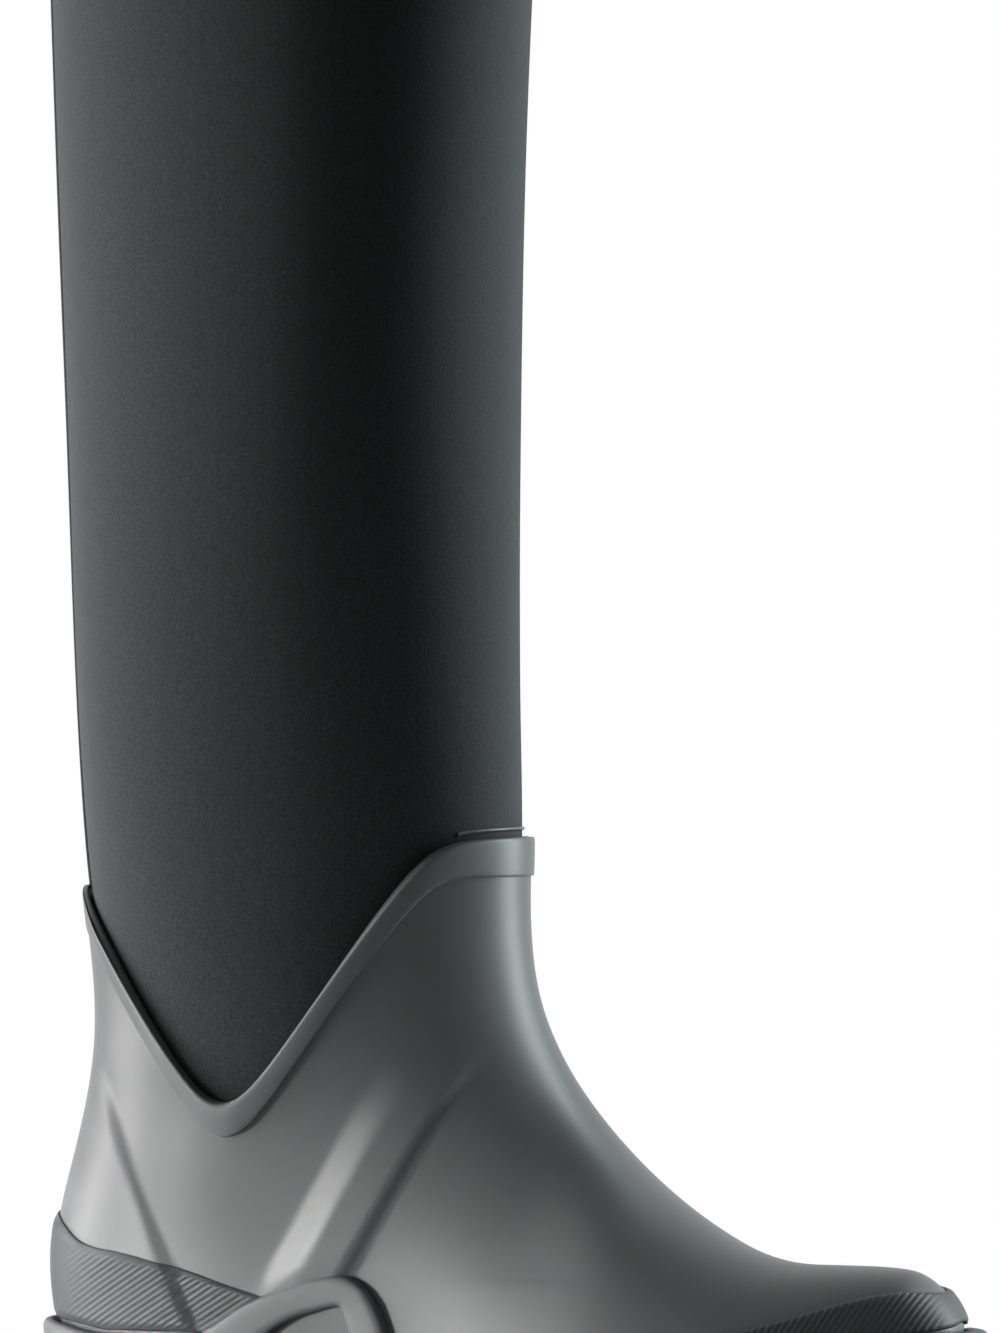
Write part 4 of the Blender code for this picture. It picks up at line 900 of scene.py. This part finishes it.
loops = [arch_loop("outer_loop", "lateral_arch_loop", False), arch_loop("inner_loop", "medial_arch_loop", True)]
print("loops:", [len(o.data.polygons) for o in loops], "faces")

# %% [markdown]
# ## Sole
# The outsole is a cup that the shell sits in, with a rounded ledge all round. Extruding one outline would give it
# straight walls. It is a stack of plan rings, each with its own inset and height, from the tread over the ledge down
# to the floor inside.

# %% Outsole
SOLE_POINTS = 240
FOREFOOT = 0.178
BOARD, GAP = 0.0030, 0.0003
MIDSOLE_HEEL, MIDSOLE_FORE = 0.0060, 0.0030
LUG_HEIGHT, WAIST_LIFT = 0.0040, 0.0035
LEDGE_WIDTH, WALL_TAPER, HEEL_IN, HEEL_ROOM = 0.0055, 0.0025, 0.0016, 0.0022
CUP_FLOOR_INSET = 0.0037


def plate_ring(inset, height, count=SOLE_POINTS):
    """Return a closed plan ring at an inset, with its height as a function of x."""
    xy = plan_point(around(count), inset)
    return np.stack((xy[:, 0] - HALF, xy[:, 1], height(xy[:, 0]) + np.zeros(count)), -1)


def cup_floor(x):
    """Return the height of the outsole's inside floor, under the board and the midsole."""
    share = smooth(0.0760, FOREFOOT, x)
    midsole = MIDSOLE_HEEL * (1 - share) + MIDSOLE_FORE * share
    return seat(x) - BOARD - midsole - GAP


def tread_base(x):
    """Return the height of the outsole's underside before its lugs."""
    spring = np.where(x > FOREFOOT, np.maximum(cup_floor(x) - cup_floor(FOREFOOT), 0), 0)
    waist = smooth(0.072, 0.084, x) * (1 - smooth(0.110, 0.140, x))
    return LUG_HEIGHT + waist * WAIST_LIFT + spring


EDGE = -(SHELL_OUT + GUARD_THICK + GAP + LEDGE_WIDTH)
CUP = -(SHELL_OUT + 0.0005)
ring_x = HALF * (1 + np.cos(around(SOLE_POINTS)))
rim = EDGE + HEEL_IN * (1 - smooth(0.0, 0.045, ring_x))
heel_room = HEEL_ROOM * (1 - smooth(0.0, 0.037, ring_x))
rings = [plate_ring(rim + 0.0032, tread_base), plate_ring(rim + WALL_TAPER, lambda x: tread_base(x) + 0.0006)]
for share in np.linspace(0.1, 0.9, 8):
    rings.append(plate_ring(rim + WALL_TAPER * (1 - share),
                            lambda x, s=share: tread_base(x) + s * (ledge(x) - 0.0045 - tread_base(x))))
for inset, drop in ((0.0, 0.0040), (-0.0001, 0.0026), (0.0001, 0.0014), (0.0006, 0.0005), (0.0014, 0.0001),
                    (0.0022, 0.0)):
    rings.append(plate_ring(rim + inset, lambda x, d=drop: ledge(x) - d))
rings.append(plate_ring(CUP - 0.0006 - heel_room, ledge))
rings.append(plate_ring(CUP - heel_room, lambda x: ledge(x) - 0.0006))
rings.append(plate_ring(CUP, lambda x: seat(x) + 0.0045))
rings.append(plate_ring(CUP_FLOOR_INSET, lambda x: seat(x) - BOARD))
rings.append(plate_ring(CUP_FLOOR_INSET, cup_floor))
stack = np.array(rings)
sole = new_piece("outsole_cup", stack.reshape(-1, 3), stack_faces(stack), sole_rubber)
print("outsole:", len(sole.data.polygons), "faces")

# %% [markdown]
# ### Lugs
# The tread's lugs are tapered blocks in four lanes, with a plain waist. Instances of one block would not fit the foot's
# curved edge, so each block is drawn in its own cell of the plan and then bevelled.

# %% Lugs
LUG_ANGLES = np.radians((0, 9, 18, 28, 39, 51, 63, 74, 84, 93, 99, 103, 107, 113, 121, 130, 140, 150, 160, 170, 180))
LANES = 4
LUG_MARGIN, LUG_BEVEL = 0.0016, 0.0004
WAIST_START, WAIST_END = 0.070, 0.140
inner_edge, outer_edge = (plan_point(sign * LUG_ANGLES, EDGE + WALL_TAPER) for sign in (1, -1))


def lug_ring(corners, margin, height):
    """Return the corners of a lug's cell moved inward by a margin, at a height."""
    ring = []
    for i in range(4):
        here, after, before = corners[i], corners[(i + 1) % 4], corners[i - 1]
        go = (after - here) / np.linalg.norm(after - here)
        come = (before - here) / np.linalg.norm(before - here)
        p = here + (go + come) * margin / max(abs(go[0] * come[1] - go[1] * come[0]), 0.3)
        ring.append((p[0] - HALF, p[1], height(p[0])))
    return ring


work = bmesh.new()
for c in range(1, len(LUG_ANGLES) - 2):
    for k in range(LANES):
        corners = [inner_edge[i] + (outer_edge[i] - inner_edge[i]) * q / LANES
                   for i, q in ((c, k), (c + 1, k), (c + 1, k + 1), (c, k + 1))]
        x = np.mean([p[0] for p in corners])
        if WAIST_START < x < WAIST_END:
            continue
        ground = float(tread_base(x)) - LUG_HEIGHT if x > FOREFOOT else 0.0
        levels = ((0.8, lambda px: float(tread_base(px)) + 0.0006), (1.4, lambda px: ground))
        top, foot = ([work.verts.new(p) for p in lug_ring(corners, LUG_MARGIN * share, height)]
                     for share, height in levels)
        for i in range(4):
            n = (i + 1) % 4
            work.faces.new((top[i], top[n], foot[n], foot[i]))
        work.faces.new(top[::-1])
        work.faces.new(foot)
bmesh.ops.recalc_face_normals(work, faces=work.faces)
bmesh.ops.bevel(work, geom=work.edges[:], offset=LUG_BEVEL, segments=2, affect="EDGES")
lug_mesh = bpy.data.meshes.new("sole_lugs")
work.to_mesh(lug_mesh)
work.free()
lug_mesh.materials.append(sole_rubber)
lugs = add_to_scene(bpy.data.objects.new("sole_lugs", lug_mesh))
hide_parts("outsole")
print("lugs:", len(lug_mesh.polygons), "faces")

# %% [markdown]
# ## Footbed
# A loose foam insole with a knit face lies on the board, cupped at the heel. Cloth simulation could puff it up, but
# such an insole is moulded and keeps its form. So it is two stacks of plan rings that crown towards the rim.

# %% Footbed
BED_LOW = 0.0059
BED_HIGH = BED_LOW + 0.0040
BED_INSET, BED_FOOT_INSET, BED_SHOULDER = 0.0064, 0.0102, 0.0085
COVER_INSET, COVER_FOOT_INSET = 0.0073, 0.0076
CUP_DEPTH, CROWN_WIDTH = 0.0030, 0.0114


def bed_rings(low, high, low_inset, shoulder, edge):
    """Return the rings of one footbed layer with rounded edges and a heel cup."""
    def cup_rise(x):
        return CUP_DEPTH * (1 - smooth(0.060, 0.150, x))

    def ring(inset, share, rise):
        return plate_ring(inset, lambda x: seat(x) + rise + share * cup_rise(x), 200)
    made = [ring(low_inset + 0.012, 0.0, low), ring(low_inset, 0.0 if shoulder else 1.0, low)]
    if shoulder:
        made.append(ring(edge, 0.4, BED_SHOULDER))
    made.append(ring(edge + 0.0002, 1.0, high - 0.0004))
    made.append(ring(edge + 0.0006, 1.0, high))
    for share in np.linspace(0.15, 1.0, 8):
        made.append(ring(edge + 0.0006 + CROWN_WIDTH * share, 1 - smooth(0, 1, share), high))
    return np.array(made)


def bed_piece(name, node, rings, material):
    """Make one footbed layer from its rings."""
    made = new_piece(name, rings.reshape(-1, 3), stack_faces(rings), material)
    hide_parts(node)
    return made


bed = bed_piece("footbed_foam_layer", "footbed",
                bed_rings(BED_LOW, BED_HIGH, BED_FOOT_INSET, True, BED_INSET), bed_foam)
cover = bed_piece("footbed_face", "footbed_cover",
                  bed_rings(BED_HIGH + 0.0003, BED_HIGH + 0.0013, COVER_FOOT_INSET, False, COVER_INSET), cover_cloth)
print("footbed layers:", len(bed.data.polygons), len(cover.data.polygons), "faces")

# %% [markdown]
# ## What moves with what
# The loose footbed lifts on its own body; everything else is the boot.

# %% Bodies
slots = {bootie: "neoprene", lining: "lining", binding: "binding", tape: "tape", shell: "rubber", band: "rubber",
         rim_line: "rubber", toe_guard: "rubber", heel_guard: "rubber", sole: "sole", lugs: "sole",
         **{piece: "rubber" for piece in loops}, **{row: "binding" for row in stitch_rows}}
for piece, slot_name in slots.items():
    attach(piece, "boot")
for piece, slot_name in ((bed, "bed"), (cover, "cover")):
    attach(piece, "footbed")
print("pieces on the boot:", len(slots), "and on the footbed: 2")

# %% [markdown]
# ## Camera
# The photograph was taken level and from far away, a little in front of the outer side. A short lens would bend the
# tall shaft, so a long one stands 3.5 m off at the same angle.

# %% Camera
CAMERA_AZIMUTH = math.radians(15)
CAMERA_DISTANCE = 3.5
LENS_MM, SENSOR_MM = 315, 36
target = np.array((-0.003, 0.0, 0.230))
camera_data = bpy.data.cameras.new("camera")
camera_data.lens = LENS_MM
camera_data.sensor_width = SENSOR_MM
camera_data.clip_end = 50
camera = add_to_scene(bpy.data.objects.new("camera", camera_data))
camera.location = target + CAMERA_DISTANCE * np.array((math.sin(CAMERA_AZIMUTH), -math.cos(CAMERA_AZIMUTH), 0))
camera.rotation_euler = (math.pi / 2, 0, CAMERA_AZIMUTH)
scene.camera = camera
print("camera at", [round(v, 2) for v in camera.location])

# %% [markdown]
# ## Lights
# A tall soft box on the left makes the bright strips on heel and neoprene, and a cooler one on the right draws the
# front edge. One environment picture could do both, but single lamps can be set one by one. Low lamps lift the foot,
# and a narrow one the side of the heel.

# %% Lights
WARM, COOL = (1.0, 0.99, 0.98), (0.88, 1.0, 0.98)
TALL = (1.3, 0.5, (0.45, 1.3))
LOW = (0.8, 0.10, (0.35, 0.2))
NARROW = (0.8, 0.05, (0.20, 0.08))


def soft_light(name, azimuth, stand, power, colour, aim_at=(0, 0, 0.2), spread=180):
    """Add a soft box on a stand (distance, height and size) at an azimuth in degrees, aimed at the boot."""
    distance, height, size = stand
    data = bpy.data.lights.new(name, "AREA")
    data.shape = "RECTANGLE"
    data.size, data.size_y = size
    data.energy = power
    data.color = colour
    data.spread = math.radians(spread)
    lamp = add_to_scene(bpy.data.objects.new(name, data))
    turn = math.radians(azimuth)
    lamp.location = (math.sin(turn) * distance, -math.cos(turn) * distance, height)
    aim = np.array(aim_at) - np.array(lamp.location)
    tilt = math.atan2(math.hypot(aim[0], aim[1]), -aim[2])
    lamp.rotation_euler = (tilt, 0, math.atan2(aim[1], aim[0]) - math.pi / 2)


soft_light("key_left", -80, TALL, 29, WARM)
soft_light("key_back", -95, TALL, 6.0, WARM)
soft_light("key_low", -60, LOW, 2.2, WARM, (0, 0, 0.05))
soft_light("low_left", -90, LOW, 0.6, WARM, (0, 0, 0.05))
soft_light("heel_fill", -44, NARROW, 0.110, WARM, (-0.070, 0, 0.035), 13)
soft_light("rim_right", 125, TALL, 30, COOL)
soft_light("side_right", 105, TALL, 1.0, COOL)

# %% [markdown]
# ## Background and floor
# The photograph's ground is plain white. A brighter world would also light the boot, so only camera, transmission and
# glossy rays see the white, and other rays see an almost dark world. A pale disc takes the shadow.

# %% Background and floor
FLOOR_RADIUS, FLOOR_POINTS, FLOOR_DROP = 0.42, 64, 0.0005
world = bpy.data.worlds.new("studio")
scene.world = world
world.use_nodes = True
tree = world.node_tree
tree.nodes.clear()
path = wire(tree, "ShaderNodeLightPath").outputs
seen = math_node(tree, "MAXIMUM", path["Is Camera Ray"], path["Is Transmission Ray"])
seen = math_node(tree, "MAXIMUM", seen, path["Is Glossy Ray"])
dim = wire(tree, "ShaderNodeBackground", {"Color": (0.9, 0.95, 1.0, 1), "Strength": 0.005})
white = wire(tree, "ShaderNodeBackground", {"Color": (1, 1, 1, 1)})
mix = wire(tree, "ShaderNodeMixShader", {"Fac": seen, 1: dim.outputs[0], 2: white.outputs[0]})
wire(tree, "ShaderNodeOutputWorld", {"Surface": mix.outputs[0]})

floor_mesh = bpy.data.meshes.new("floor")
corners = [(math.cos(t) * FLOOR_RADIUS, math.sin(t) * FLOOR_RADIUS, -FLOOR_DROP) for t in around(FLOOR_POINTS)]
floor_mesh.from_pydata(corners, [], [list(range(FLOOR_POINTS))])
floor = add_to_scene(bpy.data.objects.new("floor", floor_mesh))
floor_mesh.materials.append(finish("pale_floor", (0.8, 0.8, 0.8), 0.8, 50, 0.0001, 0.0))
scene.view_settings.view_transform = "Standard"
print("studio ready")
